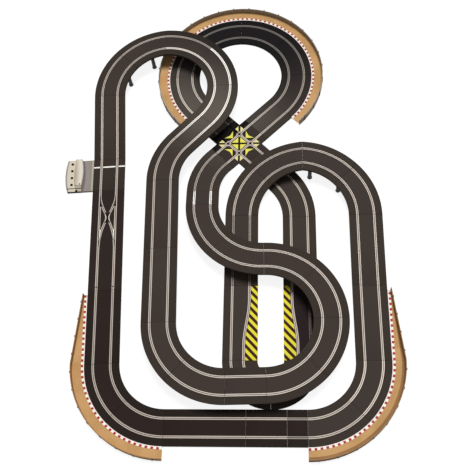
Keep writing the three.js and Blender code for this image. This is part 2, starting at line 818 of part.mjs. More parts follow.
const ledX = coverRight - coverBevel - ledFromRidge;
const ledY = ridgeStart + coverBevel + ledFromRidge;
const ledWell = peg(ledRadius + seatGap, ridgeTop - ledDepth - seatGap, ridgeTop + overcut);
ledWell.translate(ledX, ledY, 0);
const led = peg(ledRadius, ridgeTop - ledDepth, ridgeTop);
led.translate(ledX, ledY, 0);
addNode('power_led', inPowerFrame(toSolid(led)), ledRed);

const inletLeft = coverLeft + inletFromEdge - inletWidth / 2;
const inletBottom = (lipHeight - inletTall) / 2;
const inlet = block(inletLeft, inletLeft + inletWidth, 0, inletDepth, inletBottom, inletBottom + inletTall);
cover = cover.subtract(toSolid(ledWell)).subtract(toSolid(inlet));
addNode('power_base_cover', inPowerFrame(cover), baseBeige);

// Borders clip to the outer edge of a bend; leads taper along the straight beside it
const fullWidth = () => borderWidth;
const tipWidth = kerbWidth + 2 * skirtWall;
function leadWidth(span, grows) {
  const length = span.piece.length * leadShare;
  return (distance) => {
    const fromTip = grows ? distance - span.to + length : span.from + length - distance;
    const share = Math.min(Math.max(fromTip / length, 0), 1);
    return tipWidth + (borderWidth - tipWidth) * share;
  };
}
function mirrored(outline, side) {
  return side > 0 ? outline : outline.map(([u, v]) => [-u, v]).reverse();
}
function borderOutline(width, side) {
  const inner = halfWidth + seatGap;
  const outer = inner + width;
  const kerb = inner + kerbWidth;
  return mirrored([
    [inner, 0], [inner + skirtWall, 0], [inner + skirtWall, skinUnder], [outer - skirtWall, skinUnder],
    [outer - skirtWall, 0], [outer, 0], [outer, deckHeight],
    [kerb, deckHeight], [kerb, deckHeight + kerbRise], [inner, deckHeight],
  ], side);
}
const barrierFoot = deckHeight + seatGap;
function barrierOutline(width, side) {
  const outer = halfWidth + seatGap + width - barrierInset;
  return mirrored(rectangle(outer - barrierThick, outer, barrierFoot, barrierFoot + barrierHeight), side);
}
function leadStations(route, name, grows) {
  const span = route.spans.get(name);
  const length = span.piece.length * leadShare;
  const from = grows ? span.to - length : span.from;
  return [from + halfGap, from + length - halfGap].map(route.at);
}
function borderNode(name, stations, side, widthAt) {
  addNode(name, sweep(stations, (station) => borderOutline(widthAt(station.distance), side)), borderTan);
}
function barrierNode(name, stations, side, widthAt) {
  const wall = sweep(stations, (station) => barrierOutline(widthAt(station.distance), side));
  const pieces = [wall];
  for (let i = 0; i < stations.length - 1; i += 1) {
    pieces.push(...postsBetween(stations[i], stations[i + 1], side, widthAt));
  }
  addNode(name, fromSolid(join(pieces)), barrierGrey);
}
// Posts grip the barrier from outside and stand on the floor beyond the border's edge
function postsBetween(a, b, side, widthAt) {
  const reachOf = (station) => halfWidth + seatGap + widthAt(station.distance) - barrierInset;
  const [ax, ay] = beside(a, side * reachOf(a));
  const [bx, by] = beside(b, side * reachOf(b));
  const length = Math.hypot(bx - ax, by - ay);
  const heading = Math.atan2(by - ay, bx - ax);
  const count = Math.round(length / postSpacing);
  const edge = barrierInset + seatGap;
  const top = barrierFoot + barrierHeight + postRise;
  const outline = mirrored([
    [-barrierThick / 2, barrierFoot], [edge, barrierFoot], [edge, 0],
    [edge + postThick, 0], [edge + postThick, top], [-barrierThick / 2, top],
  ], side);
  const posts = [];
  for (let i = 0; i < count; i += 1) {
    const middle = (length * (i + 0.5)) / count;
    const ends = [middle - postWidth / 2, middle + postWidth / 2].map((along) => ({
      x: ax + along * Math.cos(heading),
      y: ay + along * Math.sin(heading),
      z: 0,
      heading,
    }));
    posts.push(sweep(ends, () => outline));
  }
  return posts;
}

const rightLead = leadWidth(circuit.spans.get('right_straight_b'), true);
const leftLead = leadWidth(circuit.spans.get('left_straight'), false);
const rightLeadStations = leadStations(circuit, 'right_straight_b', true);
const leftLeadStations = leadStations(circuit, 'left_straight', false);
const rightCorner = stationsOf(circuit, ['right_corner_a', 'right_corner_b']);
const leftCorner = stationsOf(circuit, ['left_corner_a', 'left_corner_b']);
borderNode('border_right_lead', rightLeadStations, 1, rightLead);
borderNode('border_right_corner', rightCorner, 1, fullWidth);
borderNode('border_left_corner', leftCorner, 1, fullWidth);
borderNode('border_left_lead', leftLeadStations, 1, leftLead);
borderNode('border_loop_1', stationsOf(loop, ['loop_1', 'loop_2']), -1, fullWidth);
borderNode('border_loop_2', stationsOf(loop, ['loop_3', 'loop_4']), -1, fullWidth);
borderNode('border_loop_3', stationsOf(loop, ['loop_5', 'loop_6']), -1, fullWidth);
barrierNode('barrier_right', [...rightLeadStations, ...rightCorner.slice(1)], 1, (d) => (
  d < circuit.spans.get('right_corner_a').from ? rightLead(d) : borderWidth
));
barrierNode('barrier_left', [...leftCorner.slice(0, -1), ...leftLeadStations], 1, (d) => (
  d > circuit.spans.get('left_corner_b').to ? leftLead(d) : borderWidth
));
barrierNode('barrier_loop', stationsOf(loop, loopBends), -1, fullWidth);

// The set stands on its base, centred over the origin
const bounds = new THREE.Box3();
for (const mesh of part.children) {
  mesh.geometry.computeBoundingBox();
  bounds.union(mesh.geometry.boundingBox);
}
const centre = bounds.getCenter(new THREE.Vector3());
for (const mesh of part.children) {
  mesh.geometry.translate(-centre.x, -centre.y, -bounds.min.z);
  const flat = mesh.geometry.index ? mesh.geometry.toNonIndexed() : mesh.geometry;
  flat.computeVertexNormals();
  mesh.geometry = flat;
}

export default part;
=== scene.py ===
import math
from collections import namedtuple

import bmesh
import bpy
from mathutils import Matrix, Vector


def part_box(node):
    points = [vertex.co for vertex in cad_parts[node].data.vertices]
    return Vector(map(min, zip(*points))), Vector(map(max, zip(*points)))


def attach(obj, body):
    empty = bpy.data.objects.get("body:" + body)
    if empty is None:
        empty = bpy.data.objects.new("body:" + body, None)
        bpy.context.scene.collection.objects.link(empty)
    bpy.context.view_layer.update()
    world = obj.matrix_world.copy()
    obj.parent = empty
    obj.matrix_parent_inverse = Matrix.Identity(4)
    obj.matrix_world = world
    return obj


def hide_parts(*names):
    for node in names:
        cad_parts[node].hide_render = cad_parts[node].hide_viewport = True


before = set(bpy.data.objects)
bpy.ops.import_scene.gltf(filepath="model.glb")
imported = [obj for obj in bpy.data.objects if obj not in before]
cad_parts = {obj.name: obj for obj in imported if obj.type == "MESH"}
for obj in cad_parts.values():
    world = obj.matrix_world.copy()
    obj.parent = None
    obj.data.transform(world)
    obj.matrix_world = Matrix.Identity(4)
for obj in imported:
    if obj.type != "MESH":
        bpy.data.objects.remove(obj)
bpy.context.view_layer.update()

# Sizes of the track, metres
HALF_TRACK = 0.078
LANE = 0.039
NARROW_SHIFT = 0.023
SHIFT_START = 0.2
DECK_TOP = 0.011
SKIN_UNDER = 0.008
SLOT_FLOOR = 0.0035
CHANNEL_UNDER = 0.002
GROOVE_FLOOR = 0.0102
RAIL_TOP = 0.0114
RAIL_FOOT = DECK_TOP - 0.0002
SKIRT = 0.002
SLOT = 0.0015
RAIL_EDGE = 0.0013
RAIL_REACH = 0.0055
FLANGE = 0.0004
FLANGE_UNDER = 0.0055
CHANNEL = 0.00325
BAND = 0.0065
GROOVE = 0.0079
JOINT = 0.00015
LIP = 0.0011
RAIL_END = 0.0005
LEVEL = 0.0085
CURVE_RADIUS = 0.292
HAIRPIN_RADIUS = 0.136
CROSSING_ARM = 0.117
FINEST_TURN = math.radians(2.9)
DECK_LIP = 0.94
RIM_ROUND = 0.0008
SWIPE_STEPS = 24

# Distances that count as none when corners are picked
TOUCH = 1e-5
CLOSE = 1e-4

# Borders and barriers
SEAT = 0.0003
BORDER = 0.058
BORDER_INNER = HALF_TRACK + SEAT
KERB_WHITE = 0.0035
KERB = 0.013
KERB_STEP = 0.0006
KERB_RISE = 0.001
KERB_PERIOD = 0.0252
BORDER_ROUND = 0.001
WHITE_SHARE = 0.53
SHADED_EDGE = 0.018
LEAD_SHARE = 0.94
TIP = 0.017
LEAD_STEPS = 4
BARRIER_THICK = 0.0024
BARRIER_TALL = 0.027
BARRIER_INSET = 0.0016
BARRIER_FOOT = DECK_TOP + SEAT
BEAD = 0.0008
BEAD_TALL = 0.0035
BEAD_ROUND = 0.0009
POST_SPACING = 0.084
POST_WIDE = 0.007
POST_THICK = 0.0012
POST_RISE = 0.002
POST_ROUND = 0.0008

# Piers, drawn once at this height and then pulled to each deck
PIER_TOP = 0.05
PIER_FOOT = 0.012
PIER_SIDES = 36
PIER_FROM_END = 0.014
SIDE_PIER_INSET = 0.008
PIER_STEPS = [
    (0.0120, 0.0024), (0.0112, 0.0033), (0.0103, 0.0070), (0.0098, 0.0120),
    (0.0090, PIER_TOP - 0.006), (0.0104, PIER_TOP - 0.0046), (0.0104, PIER_TOP),
]

# Power base, measured across and along from the start of its half straight
BASE_LONG = 0.175
PLATEAU_WIDE = 0.056
PLATEAU_TALL = 0.012
EDGE_STRIP = 0.0115
STRIP_LINE = 0.0012
COVER_WIDE = 0.0815
COVER_TALL = 0.022
COVER_BOW = 0.011
COVER_ROUND = 0.0025
LIP_LONG = 0.016
LIP_STEP = 0.0012
LIP_TALL = 0.015
RIDGE_TALL = 0.027
RIDGE_WIDE = 0.033
RIDGE_BOW = 0.0085
RIDGE_FROM_FRONT = 0.028
RIDGE_INSET = -0.004
RIDGE_ROUND = 0.0042
BOW_STEPS = 12
OVERCUT = 0.01
BUTTON_PITCH = 0.039
BUTTON_RADIUS = 0.0064
BUTTON_FROM_EDGE = 0.0335
BUTTON_SHIFT = 0.006
BUTTON_PROUD = 0.002
BUTTON_DEEP = 0.008
# A button's 1.5 mm of travel and 0.3 mm left below it
BUTTON_RUN = 0.0018
PLUG_ROUND = 0.001
PLUG_SIDES = 32
LED_RADIUS = 0.003
LED_DEEP = 0.004
LED_FROM_RIDGE = 0.005
INLET_WIDE = 0.011
INLET_FOOT = 0.003
INLET_DEEP = 0.009
INLET_FROM_EDGE = 0.0565

# Lane changer, distances from the start of its section
CROSSOVER_START = 0.180
CROSSOVER_CENTRE = 0.374
CROSSOVER_END = 0.500
SKEW = math.log(0.5) / math.log((CROSSOVER_CENTRE - CROSSOVER_START) / (CROSSOVER_END - CROSSOVER_START))
FORK_OPEN = 0.0135
FROG_LONG = 0.021
FROG_WIDE = 0.0075
FROG_RAIL = 0.0028

# The crossing's painted pattern, reaches from its centre
PATTERN_BLUR = 0.0008
PLATE_REACH = 0.0118
SPOT_REACH = 0.0056
LINE_REACH = 0.0072
LINE_END = 0.074
DIAMOND_REACH = 0.0295
PETAL_START = 0.0452
PETAL_END = 0.0755
PETAL_CORNER = 0.1455
CHEVRON_START = 0.0455
CHEVRON_END = 0.0658
CHEVRON_SLOPE = 0.3
INK_AT = 0.0395
INK_REACH = 0.006
INK_END = 0.0735
PATTERN_END = 0.075
# Reaches along the north-west arm where the painted shadow of the flyover begins and where it is full
ARM_SHADOW = (0.036, 0.06)

# Painted stripes of the side swipes and the start line
STRIPE_PERIOD = 0.0396
STRIPE_LEAN = 1.076
STRIPE_BREAK = 0.2
STRIPE_JUMP = 0.471
STRIPE_OFFSET = 0.932
START_LINE_AT = 0.1315
START_LINE_EDGE = (0.0041, 0.0037)
START_BORDER_EDGE = (0.0068, 0.006)

# Gloss and grain that several finishes share
SHALLOW = DECK_TOP - 0.0006
DEEP = DECK_TOP - 0.0012
PAINT_FROM = GROOVE_FLOOR + 0.0003
MATT = 0.1
TRACK_ROUGH = 0.74
TRACK_BUMP = 0.0003
RAIL_BUMP = 0.00025

Station = namedtuple("Station", "x y z heading")
Section = namedtuple("Section", "node start length turn rise")


# Small helpers for modelling by hand
def let_go():
    if bpy.context.mode != "OBJECT":
        bpy.ops.object.mode_set(mode="OBJECT")
    bpy.ops.object.select_all(action="DESELECT")


def take(*pieces):
    let_go()
    for piece in pieces:
        piece.select_set(True)
    bpy.context.view_layer.objects.active = pieces[0]


def open_up(piece, kind="FACE"):
    take(piece)
    bpy.ops.object.mode_set(mode="EDIT")
    bpy.context.tool_settings.mesh_select_mode = (kind == "VERT", kind == "EDGE", kind == "FACE")
    bpy.ops.mesh.select_all(action="DESELECT")


def middle_of(part):
    if isinstance(part, bmesh.types.BMVert):
        return part.co
    if isinstance(part, bmesh.types.BMEdge):
        return (part.verts[0].co + part.verts[1].co) / 2
    return part.calc_center_median()


def select_all():
    bpy.ops.mesh.select_all(action="SELECT")


def extrude(x, y, z):
    bpy.ops.mesh.extrude_region_move(TRANSFORM_OT_translate={"value": (x, y, z)})


def pick(piece, wanted):
    shape = bmesh.from_edit_mesh(piece.data)
    corners, edges, _ = bpy.context.tool_settings.mesh_select_mode
    parts = shape.verts if corners else shape.edges if edges else shape.faces
    for part in parts:
        part.select_set(bool(wanted(part, middle_of(part))))
    shape.select_flush_mode()
    bmesh.update_edit_mesh(piece.data)


def pull(piece, wanted, move):
    pick(piece, wanted)
    bpy.ops.transform.translate(value=move)


def paint_faces(piece, choose):
    open_up(piece)
    shape = bmesh.from_edit_mesh(piece.data)
    for face in shape.faces:
        face.material_index = choose(face, face.calc_center_median())
    bmesh.update_edit_mesh(piece.data)
    let_go()


def cut_across(spots, axis):
    for spot in spots:
        select_all()
        bpy.ops.mesh.bisect(plane_co=tuple(spot * part for part in axis), plane_no=axis)


def settle(piece):
    take(piece)
    bpy.ops.object.transform_apply(location=True, rotation=True, scale=True)


def put_down(piece, station):
    piece.location = station[:3]
    piece.rotation_euler = (0, 0, station.heading)
    settle(piece)


def twin(piece, name):
    other = piece.copy()
    other.data = piece.data.copy()
    other.name = name
    bpy.context.collection.objects.link(other)
    return other


def face_outwards():
    select_all()
    bpy.ops.mesh.normals_make_consistent(inside=False)
    let_go()


def throw_away(*pieces):
    take(*pieces)
    bpy.ops.object.delete()


def finish(piece, body, slot, *materials, stands_for=(), smooth=35):
    if smooth:
        take(piece)
        bpy.ops.object.shade_smooth_by_angle(angle=math.radians(smooth))
    for material in materials:
        piece.data.materials.append(material)
    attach(piece, body)
    if stands_for:
        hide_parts(*stands_for)


# Shader sums are written as expressions on this wrapper
def sum_of(operation):
    return lambda value, *others: value.shop.number(operation, value, *others)


class Value:
    def __init__(self, shop, socket):
        self.shop = shop
        self.socket = socket

    __add__ = __radd__ = sum_of("ADD")
    __sub__ = sum_of("SUBTRACT")
    __mul__ = __rmul__ = sum_of("MULTIPLY")
    __truediv__ = sum_of("DIVIDE")
    __pow__ = sum_of("POWER")
    __lt__ = sum_of("LESS_THAN")
    __gt__ = sum_of("GREATER_THAN")
    __abs__ = sum_of("ABSOLUTE")
    cosine = sum_of("COSINE")
    fraction = sum_of("FRACT")
    least = sum_of("MINIMUM")
    most = sum_of("MAXIMUM")

    def __rsub__(self, other):
        return self.shop.number("SUBTRACT", other, self)

    def ease(self, low, high):
        reach = {0: self, 1: low, 2: high}
        return self.shop.node("ShaderNodeMapRange", {"interpolation_type": "SMOOTHSTEP"}, reach)


def shade(color):
    shares = [level / 255 for level in color]
    return [part / 12.92 if part <= 0.04045 else ((part + 0.055) / 1.055) ** 2.4 for part in shares]


class Shop:
    def __init__(self, name, world=False):
        self.result = (bpy.data.worlds if world else bpy.data.materials).new(name)
        self.result.use_nodes = True
        self.tree = self.result.node_tree
        self.shader = self.tree.nodes["Background" if world else "Principled BSDF"]
        self.place = self.node("ShaderNodeTexCoord", {}, {}, "Object")

    def feed(self, socket, value):
        if isinstance(value, Value):
            self.tree.links.new(value.socket, socket)
        else:
            socket.default_value = value

    def node(self, kind, settings, inputs, output=0):
        made = self.tree.nodes.new(kind)
        for setting, value in settings.items():
            setattr(made, setting, value)
        for key, value in inputs.items():
            self.feed(made.inputs[key], value)
        return Value(self, made.outputs[output])

    def number(self, operation, *values):
        return self.node("ShaderNodeMath", {"operation": operation}, dict(enumerate(values)))

    def noise(self, scale, detail=4.0, roughness=0.55):
        inputs = {"Vector": self.place, "Scale": scale, "Detail": detail, "Roughness": roughness}
        return self.node("ShaderNodeTexNoise", {}, inputs)

    def moved(self, location, turn=0.0):
        inputs = {"Vector": self.place, "Location": location, "Rotation": (0, 0, turn)}
        return self.node("ShaderNodeMapping", {"vector_type": "POINT"}, inputs)

    def split(self, vector):
        parts = self.node("ShaderNodeSeparateXYZ", {}, {"Vector": vector}).socket.node
        return [Value(self, output) for output in parts.outputs]

    def blend(self, share, low, high):
        ends = [color if isinstance(color, Value) else (*shade(color), 1.0) for color in (low, high)]
        inputs = {0: share, 6: ends[0], 7: ends[1]}
        return self.node("ShaderNodeMix", {"data_type": "RGBA"}, inputs, 2)

    def from_start(self, start):
        turn = -start.heading
        x = start.y * math.sin(turn) - start.x * math.cos(turn)
        y = -start.x * math.sin(turn) - start.y * math.cos(turn)
        return self.moved((x, y, 0), turn)

    def near(self, x, y, full, faint):
        away = self.moved((-x, -y, 0))
        reach = self.node("ShaderNodeVectorMath", {"operation": "LENGTH"}, {0: away}, "Value")
        return reach.ease(faint, full)

    # Painted highlight towards the bright spot and painted shade towards the dim one
    def lit(self, low, middle, high, full, faint):
        bright = self.near(*BRIGHT_SPOT, full, faint)
        dim = self.near(*DIM_SPOT, 0.2, 0.7)
        return self.blend(dim, self.blend(bright, middle, high), low)

    def scaled(self, color, amount):
        inputs = {0: color if isinstance(color, Value) else shade(color), "Scale": amount}
        return self.node("ShaderNodeVectorMath", {"operation": "SCALE"}, inputs)

    def ray(self, kind):
        return self.node("ShaderNodeLightPath", {}, {}, f"Is {kind} Ray")

    def fine_grain(self):
        return self.noise(900.0, 3.0, 0.7)

    def specks(self):
        return self.noise(420.0, 4.0, 0.62), self.noise(11.0, 3.0)

    def grainy(self, color, fine):
        broad = self.noise(9.0, 3.0)
        return self.scaled(color, 0.78 + fine * 0.36 + broad * 0.08)

    def set(self, **sockets):
        for name, value in sockets.items():
            self.feed(self.shader.inputs[name.replace("_", " ")], value)

    def coat(self, height, distance, strength, color, rough, shine=0.5, metal=0.0):
        inputs = {"Strength": strength, "Distance": distance, "Height": height}
        self.set(Normal=self.node("ShaderNodeBump", {}, inputs, "Normal"), Base_Color=color)
        self.set(Roughness=rough, Specular_IOR_Level=shine, Metallic=metal)
        return self.result

    def matt(self, color, fine, relief, depth, rough=TRACK_ROUGH, metal=0.0):
        return self.coat(relief, depth, 0.6, color, (fine - 0.5) * 0.25 + rough, MATT, metal)


def speckled_plastic(name, color, light, dark, rough):
    shop = Shop(name)
    fine = shop.noise(700.0, 3.0, 0.7)
    broad = shop.noise(9.0, 3.0)
    mottled = shop.blend(broad.ease(0.38, 0.64), dark, light)
    tinted = shop.blend(0.5, mottled, color)
    grit = shop.blend(fine.ease(0.35, 0.7) * 0.35, tinted, light)
    return shop.coat(fine, 0.0003, 0.6, grit, rough + (fine - 0.5) * 0.25)


def track_plastic(name, low, middle, high):
    shop = Shop(name)
    fine = shop.fine_grain()
    tone = shop.lit(low, middle, high, 0.1, 0.45)
    return shop.matt(shop.grainy(tone, fine), fine, fine, TRACK_BUMP)


# Steel tones at the dim spot, between and at the bright spot: painted shade, middle and painted highlight
STEEL = (112, 106, 101), (174, 162, 152), (190, 180, 170)
LIGHT_STEEL = (150, 142, 135), (190, 178, 167), (210, 199, 188)


def steel_colour(shop, tones):
    streak = shop.noise(260.0, 2.0)
    tarnish = shop.noise(14.0, 3.0)
    tone = shop.lit(*tones, 0.14, 0.45)
    return shop.scaled(tone, 0.86 + streak * 0.2 + tarnish * 0.08), streak


def rail_steel(name, tones):
    shop = Shop(name)
    color, streak = steel_colour(shop, tones)
    return shop.coat(streak, 0.00005, 0.4, color, 0.42 + streak * 0.16, 0.3, 0.25)


# Painted shade for the slots and the grooves beside the rails, darker than the deck, with specks of dust
def dark_slot():
    shop = Shop("slot_dark")
    dust = shop.noise(300.0)
    color = shop.blend(dust.ease(0.4, 0.75) * 0.5, (20, 16, 14), (40, 34, 31))
    return shop.coat(dust, 0.0002, 0.5, color, 0.8 + dust * 0.1, 0.2)


def hazard_paint():
    shop = Shop("hazard_paint")
    across, along, _ = shop.split(shop.place)
    started = (across > STRIPE_BREAK) * STRIPE_JUMP + STRIPE_OFFSET
    stripe = ((across * STRIPE_LEAN + along) / STRIPE_PERIOD + started).fraction()
    scuff = shop.noise(320.0, 4.0, 0.65)
    yellow = shop.blend(scuff.ease(0.45, 0.8) * 0.5, (238, 226, 62), (196, 180, 44))
    brown = shop.blend(scuff.ease(0.4, 0.7) * 0.5, (60, 26, 6), (44, 20, 6))
    mask = stripe.ease(0.47, 0.5) - stripe.ease(0.97, 1.0)
    color = shop.blend(mask, brown, yellow)
    return shop.coat(mask * 0.4 + scuff * 0.3, 0.0002, 0.5, color, 0.5 + scuff * 0.2, MATT)


def start_line_track(start):
    shop = Shop("start_line_track")
    along, _, z = shop.split(shop.from_start(start))
    fine = shop.fine_grain()
    worn = shop.noise(180.0, 4.0, 0.6)
    top = z > PAINT_FROM
    away = abs(along - START_LINE_AT)
    line = away.ease(*START_LINE_EDGE) * top
    border = away.ease(*START_BORDER_EDGE) * top
    paint = shop.blend(worn.ease(0.55, 0.85) * 0.3, (252, 248, 243), (200, 190, 180))
    ringed = shop.blend(border * 0.7, shop.grainy((56, 48, 42), fine), (16, 12, 10))
    return shop.matt(shop.blend(line, ringed, paint), fine, fine + line * 0.5, TRACK_BUMP)


def crossing_finish(centre):
    shop = Shop("crossing_finish")
    x, y, z = shop.split(shop.from_start(centre))
    far = abs(x).most(abs(y))
    near = abs(x).least(abs(y))
    lean = far - near

    def inside(value, limit):
        return value.ease(limit + PATTERN_BLUR, limit - PATTERN_BLUR)

    off_lane = abs(far - LANE)
    off_other = abs(near - LANE)
    plate = inside(off_lane.most(off_other), PLATE_REACH)
    spot = inside(off_lane.most(off_other), SPOT_REACH)
    line = inside(lean, LINE_REACH)
    diamond = inside(far, DIAMOND_REACH)
    petals = (1 - inside(near, PETAL_START)) * inside(far, PETAL_END) * inside(far + near, PETAL_CORNER)
    chevron = (1 - inside(lean, CHEVRON_START)) * inside(far - near * CHEVRON_SLOPE, CHEVRON_END)
    ink = inside(abs(lean - INK_AT), INK_REACH) * inside(far, INK_END) + line * inside(far, LINE_END)
    fine = shop.fine_grain()
    scuff = shop.noise(260.0, 4.0, 0.65)
    # Painted shadow of the flyover: the north-west arm is painted near black and its rails are painted over
    arm_shadow = y.ease(*ARM_SHADOW)
    plain = shop.grainy(shop.blend(arm_shadow, (56, 48, 43), (16, 9, 9)), fine)
    inked = shop.blend(ink.least(1.0) * 0.85, plain, (22, 16, 6))
    yellow = shop.blend(scuff.ease(0.45, 0.8) * 0.35, (242, 233, 98), (214, 202, 86))
    bold = ((diamond + petals) * (1 - line) + chevron).least(1.0)
    painted = shop.blend(bold, inked, shop.blend(petals * 0.5, yellow, (236, 226, 200)))
    plated = shop.blend(plate, painted, (206, 188, 178))
    steel, streak = steel_colour(shop, LIGHT_STEEL)
    band = off_lane.least(off_other) < RAIL_REACH - 0.0005
    rail = (z > DECK_TOP + 0.0002) * band * (1 - arm_shadow.ease(0.4, 0.6)) * (1 - plate)
    # The slots, the grooves beyond the pattern and the spots where the slots cross are painted dark,
    # painted shade
    dark = ((z < SHALLOW) * (far > PATTERN_END)).most(z < DEEP).most(spot)
    surface = shop.blend(dark, shop.blend(rail, plated, steel), (20, 13, 18))
    return shop.matt(surface, fine, fine + streak * 0.1, RAIL_BUMP, 0.7 - rail * 0.28, rail * 0.25)


def changer_finish(start):
    shop = Shop("lane_changer_finish")
    along, across, z = shop.split(shop.from_start(start))
    run = ((along - CROSSOVER_START) / (CROSSOVER_END - CROSSOVER_START)).most(0.0).least(1.0)
    swap = abs((run ** SKEW * math.pi).cosine()) * LANE
    wide = abs(across)
    fork = (wide < LANE - SLOT) * (wide > swap + SLOT) * (LANE - swap < FORK_OPEN)
    middle = abs(along - CROSSOVER_CENTRE) < FROG_LONG
    bowed = (swap ** 2.0 + FROG_WIDE ** 2) ** 0.5
    frog = (abs(wide - bowed) < FROG_RAIL) * middle
    gap = (wide < bowed - FROG_RAIL) * middle
    branch = (abs(wide - swap) < RAIL_REACH) * (1 - middle)
    fine = shop.fine_grain()
    plain = shop.grainy((46, 36, 33), fine)
    steel, streak = steel_colour(shop, LIGHT_STEEL)
    bands = (abs(wide - LANE) < RAIL_REACH).most(branch)
    rail = ((z > DECK_TOP + 0.00003) * bands).most(frog * (z > RAIL_FOOT)) * (1 - fork)
    # The slots, the fork between the parting slots and the gap inside the frog are painted dark, painted
    # shade
    dark = (z < SHALLOW).most(fork).most(gap)
    surface = shop.blend(dark, shop.blend(rail, plain, steel), (22, 18, 15))
    return shop.matt(surface, fine, fine + streak * 0.1, RAIL_BUMP, TRACK_ROUGH - rail * 0.3, rail * 0.25)


def smooth_paint(name, color, worn, rough, shine=0.5):
    shop = Shop(name)
    speck, broad = shop.specks()
    wear = speck.ease(0.42, 0.78) * 0.45 + broad.ease(0.4, 0.7) * 0.2
    tone = shop.blend(wear, color, worn)
    return shop.coat(speck, 0.00012, 0.5, tone, rough + (speck - 0.5) * 0.2, shine)


low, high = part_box("crossing")
CROSS_X = (low.x + high.x) / 2
CROSS_Y = (low.y + high.y) / 2
# Painted light: the plastic and the rails are painted brighter near one spot, a painted highlight, and
# darker towards another, a painted shade, standing in for the studio's light falling off
BRIGHT_SPOT = (CROSS_X - 0.12, CROSS_Y + 0.26)
DIM_SPOT = (CROSS_X + 0.07, CROSS_Y + 0.74)

# Turns and lengths of the sections
EIGHTH = math.tau / 8
CORNER_FLEX = math.radians(1.55)
INNER_FLEX = -2 * CORNER_FLEX / 15
DIAGONAL = 0.174959
LONG_LEG = 0.715082 / 2


def straight(length):
    return length, 0.0


def bend(radius, turn):
    return radius * abs(turn), turn


RIGHT = bend(CURVE_RADIUS, -EIGHTH)
WIDE_RIGHT = bend(CURVE_RADIUS, CORNER_FLEX - EIGHTH)
INNER_RIGHT = bend(CURVE_RADIUS, INNER_FLEX - EIGHTH)
INNER_LEFT = bend(CURVE_RADIUS, INNER_FLEX + EIGHTH)
LOOP_LEFT = bend(CURVE_RADIUS, EIGHTH)
HAIRPIN = bend(HAIRPIN_RADIUS, -2 * EIGHTH)
FULL = straight(0.350)
HALF = straight(0.175)

# The route from the crossing's south-east arm: each node with its sections and the level each ends at
CIRCUIT = {
    "esses_exit": [("esses_exit", HALF, 0), ("esses_curve", RIGHT, 0)],
    "infield_straight_down": [("infield_down", FULL, 0)],
    "side_swipe_entry": [("side_swipe_in", FULL, 0)],
    "hairpin_entry": [("hairpin_in", HAIRPIN, 0)],
    "hairpin_exit": [("hairpin_out", HAIRPIN, 0)],
    "side_swipe_exit": [("side_swipe_out", FULL, 0)],
    "infield_straight_up": [("infield_up", FULL, 2)],
    "bridge_rise": [("bridge_rise_a", RIGHT, 5), ("bridge_rise_b", RIGHT, 9)],
    "bridge_fall": [("bridge_fall_a", RIGHT, 5), ("bridge_fall_b", RIGHT, 2)],
    "right_straight_upper": [("right_straight_a", FULL, 0)],
    "right_straight_lower": [("right_straight_b", FULL, 0)],
    "right_corner": [("right_corner_a", RIGHT, 0), ("right_corner_b", RIGHT, 0)],
    "bottom_quarter_straight": [("bottom_quarter", straight(0.0875), 0)],
    "bottom_half_straight": [("bottom_half", HALF, 0)],
    "bottom_straight": [("bottom_full", FULL, 0)],
    "left_corner": [("left_corner_a", WIDE_RIGHT, 0), ("left_corner_b", WIDE_RIGHT, 0)],
    "left_straight": [("left_straight", FULL, 0)],
    "lane_changer": [("lane_changer", straight(0.525), 0)],
    "power_track": [("power_track", HALF, 0)],
    "flyover_ramp": [("flyover_ramp", FULL, 6)],
    "flyover_curve_1": [("flyover_1", INNER_RIGHT, 8), ("flyover_2", INNER_RIGHT, 10)],
    "flyover_curve_2": [("flyover_3", INNER_RIGHT, 10), ("flyover_4", INNER_RIGHT, 10)],
    "flyover_curve_3": [("flyover_5", INNER_RIGHT, 10), ("flyover_diagonal", straight(DIAGONAL), 10)],
    "flyover_curve_4": [("flyover_6", INNER_LEFT, 10)],
    "flyover_straight_1": [("flyover_long_a", straight(LONG_LEG), 10)],
    "flyover_straight_2": [("flyover_long_b", straight(LONG_LEG), 10)],
    "flyover_curve_5": [("flyover_7", INNER_LEFT, 10), ("flyover_8", INNER_LEFT, 10)],
    "flyover_half_straight": [("flyover_half", HALF, 10)],
    "flyover_curve_6": [("flyover_9", INNER_LEFT, 10), ("flyover_10", INNER_LEFT, 10)],
    "flyover_curve_7": [("flyover_11", INNER_LEFT, 10), ("flyover_12", INNER_LEFT, 9)],
    "flyover_curve_8": [("flyover_13", INNER_RIGHT, 8), ("flyover_14", INNER_RIGHT, 6)],
    "descent_curve": [("descent_link", straight(0.078), 5), ("descent_curve", INNER_RIGHT, 0)],
}
LEAD = straight(CURVE_RADIUS - CROSSING_ARM)
LOOP = {
    "loop_lead_in": [("loop_lead_in", LEAD, 0), ("loop_1", LOOP_LEFT, 0)],
    "loop_curve_right": [("loop_2", LOOP_LEFT, 0), ("loop_3", LOOP_LEFT, 0)],
    "loop_curve_top": [("loop_4", LOOP_LEFT, 0), ("loop_5", LOOP_LEFT, 0)],
    "loop_lead_out": [("loop_6", LOOP_LEFT, 0), ("loop_lead_out", LEAD, 0)],
}


def along(section, distance):
    start = section.start
    share = distance / section.length
    z = start.z + section.rise * share
    heading = start.heading + section.turn * share
    if section.turn:
        radius = section.length / section.turn
        x = start.x + radius * (math.sin(heading) - math.sin(start.heading))
        y = start.y - radius * (math.cos(heading) - math.cos(start.heading))
    else:
        x = start.x + distance * math.cos(heading)
        y = start.y + distance * math.sin(heading)
    return Station(x, y, z, heading)


def lay_out(plan, start):
    sections = {}
    for node, parts in plan.items():
        for name, (length, turn), level in parts:
            sections[name] = Section(node, start, length, turn, level * LEVEL - start.z)
            start = along(sections[name], length)
    return sections


def aside(station, offset):
    x = station.x - offset * math.sin(station.heading)
    y = station.y + offset * math.cos(station.heading)
    return station._replace(x=x, y=y)


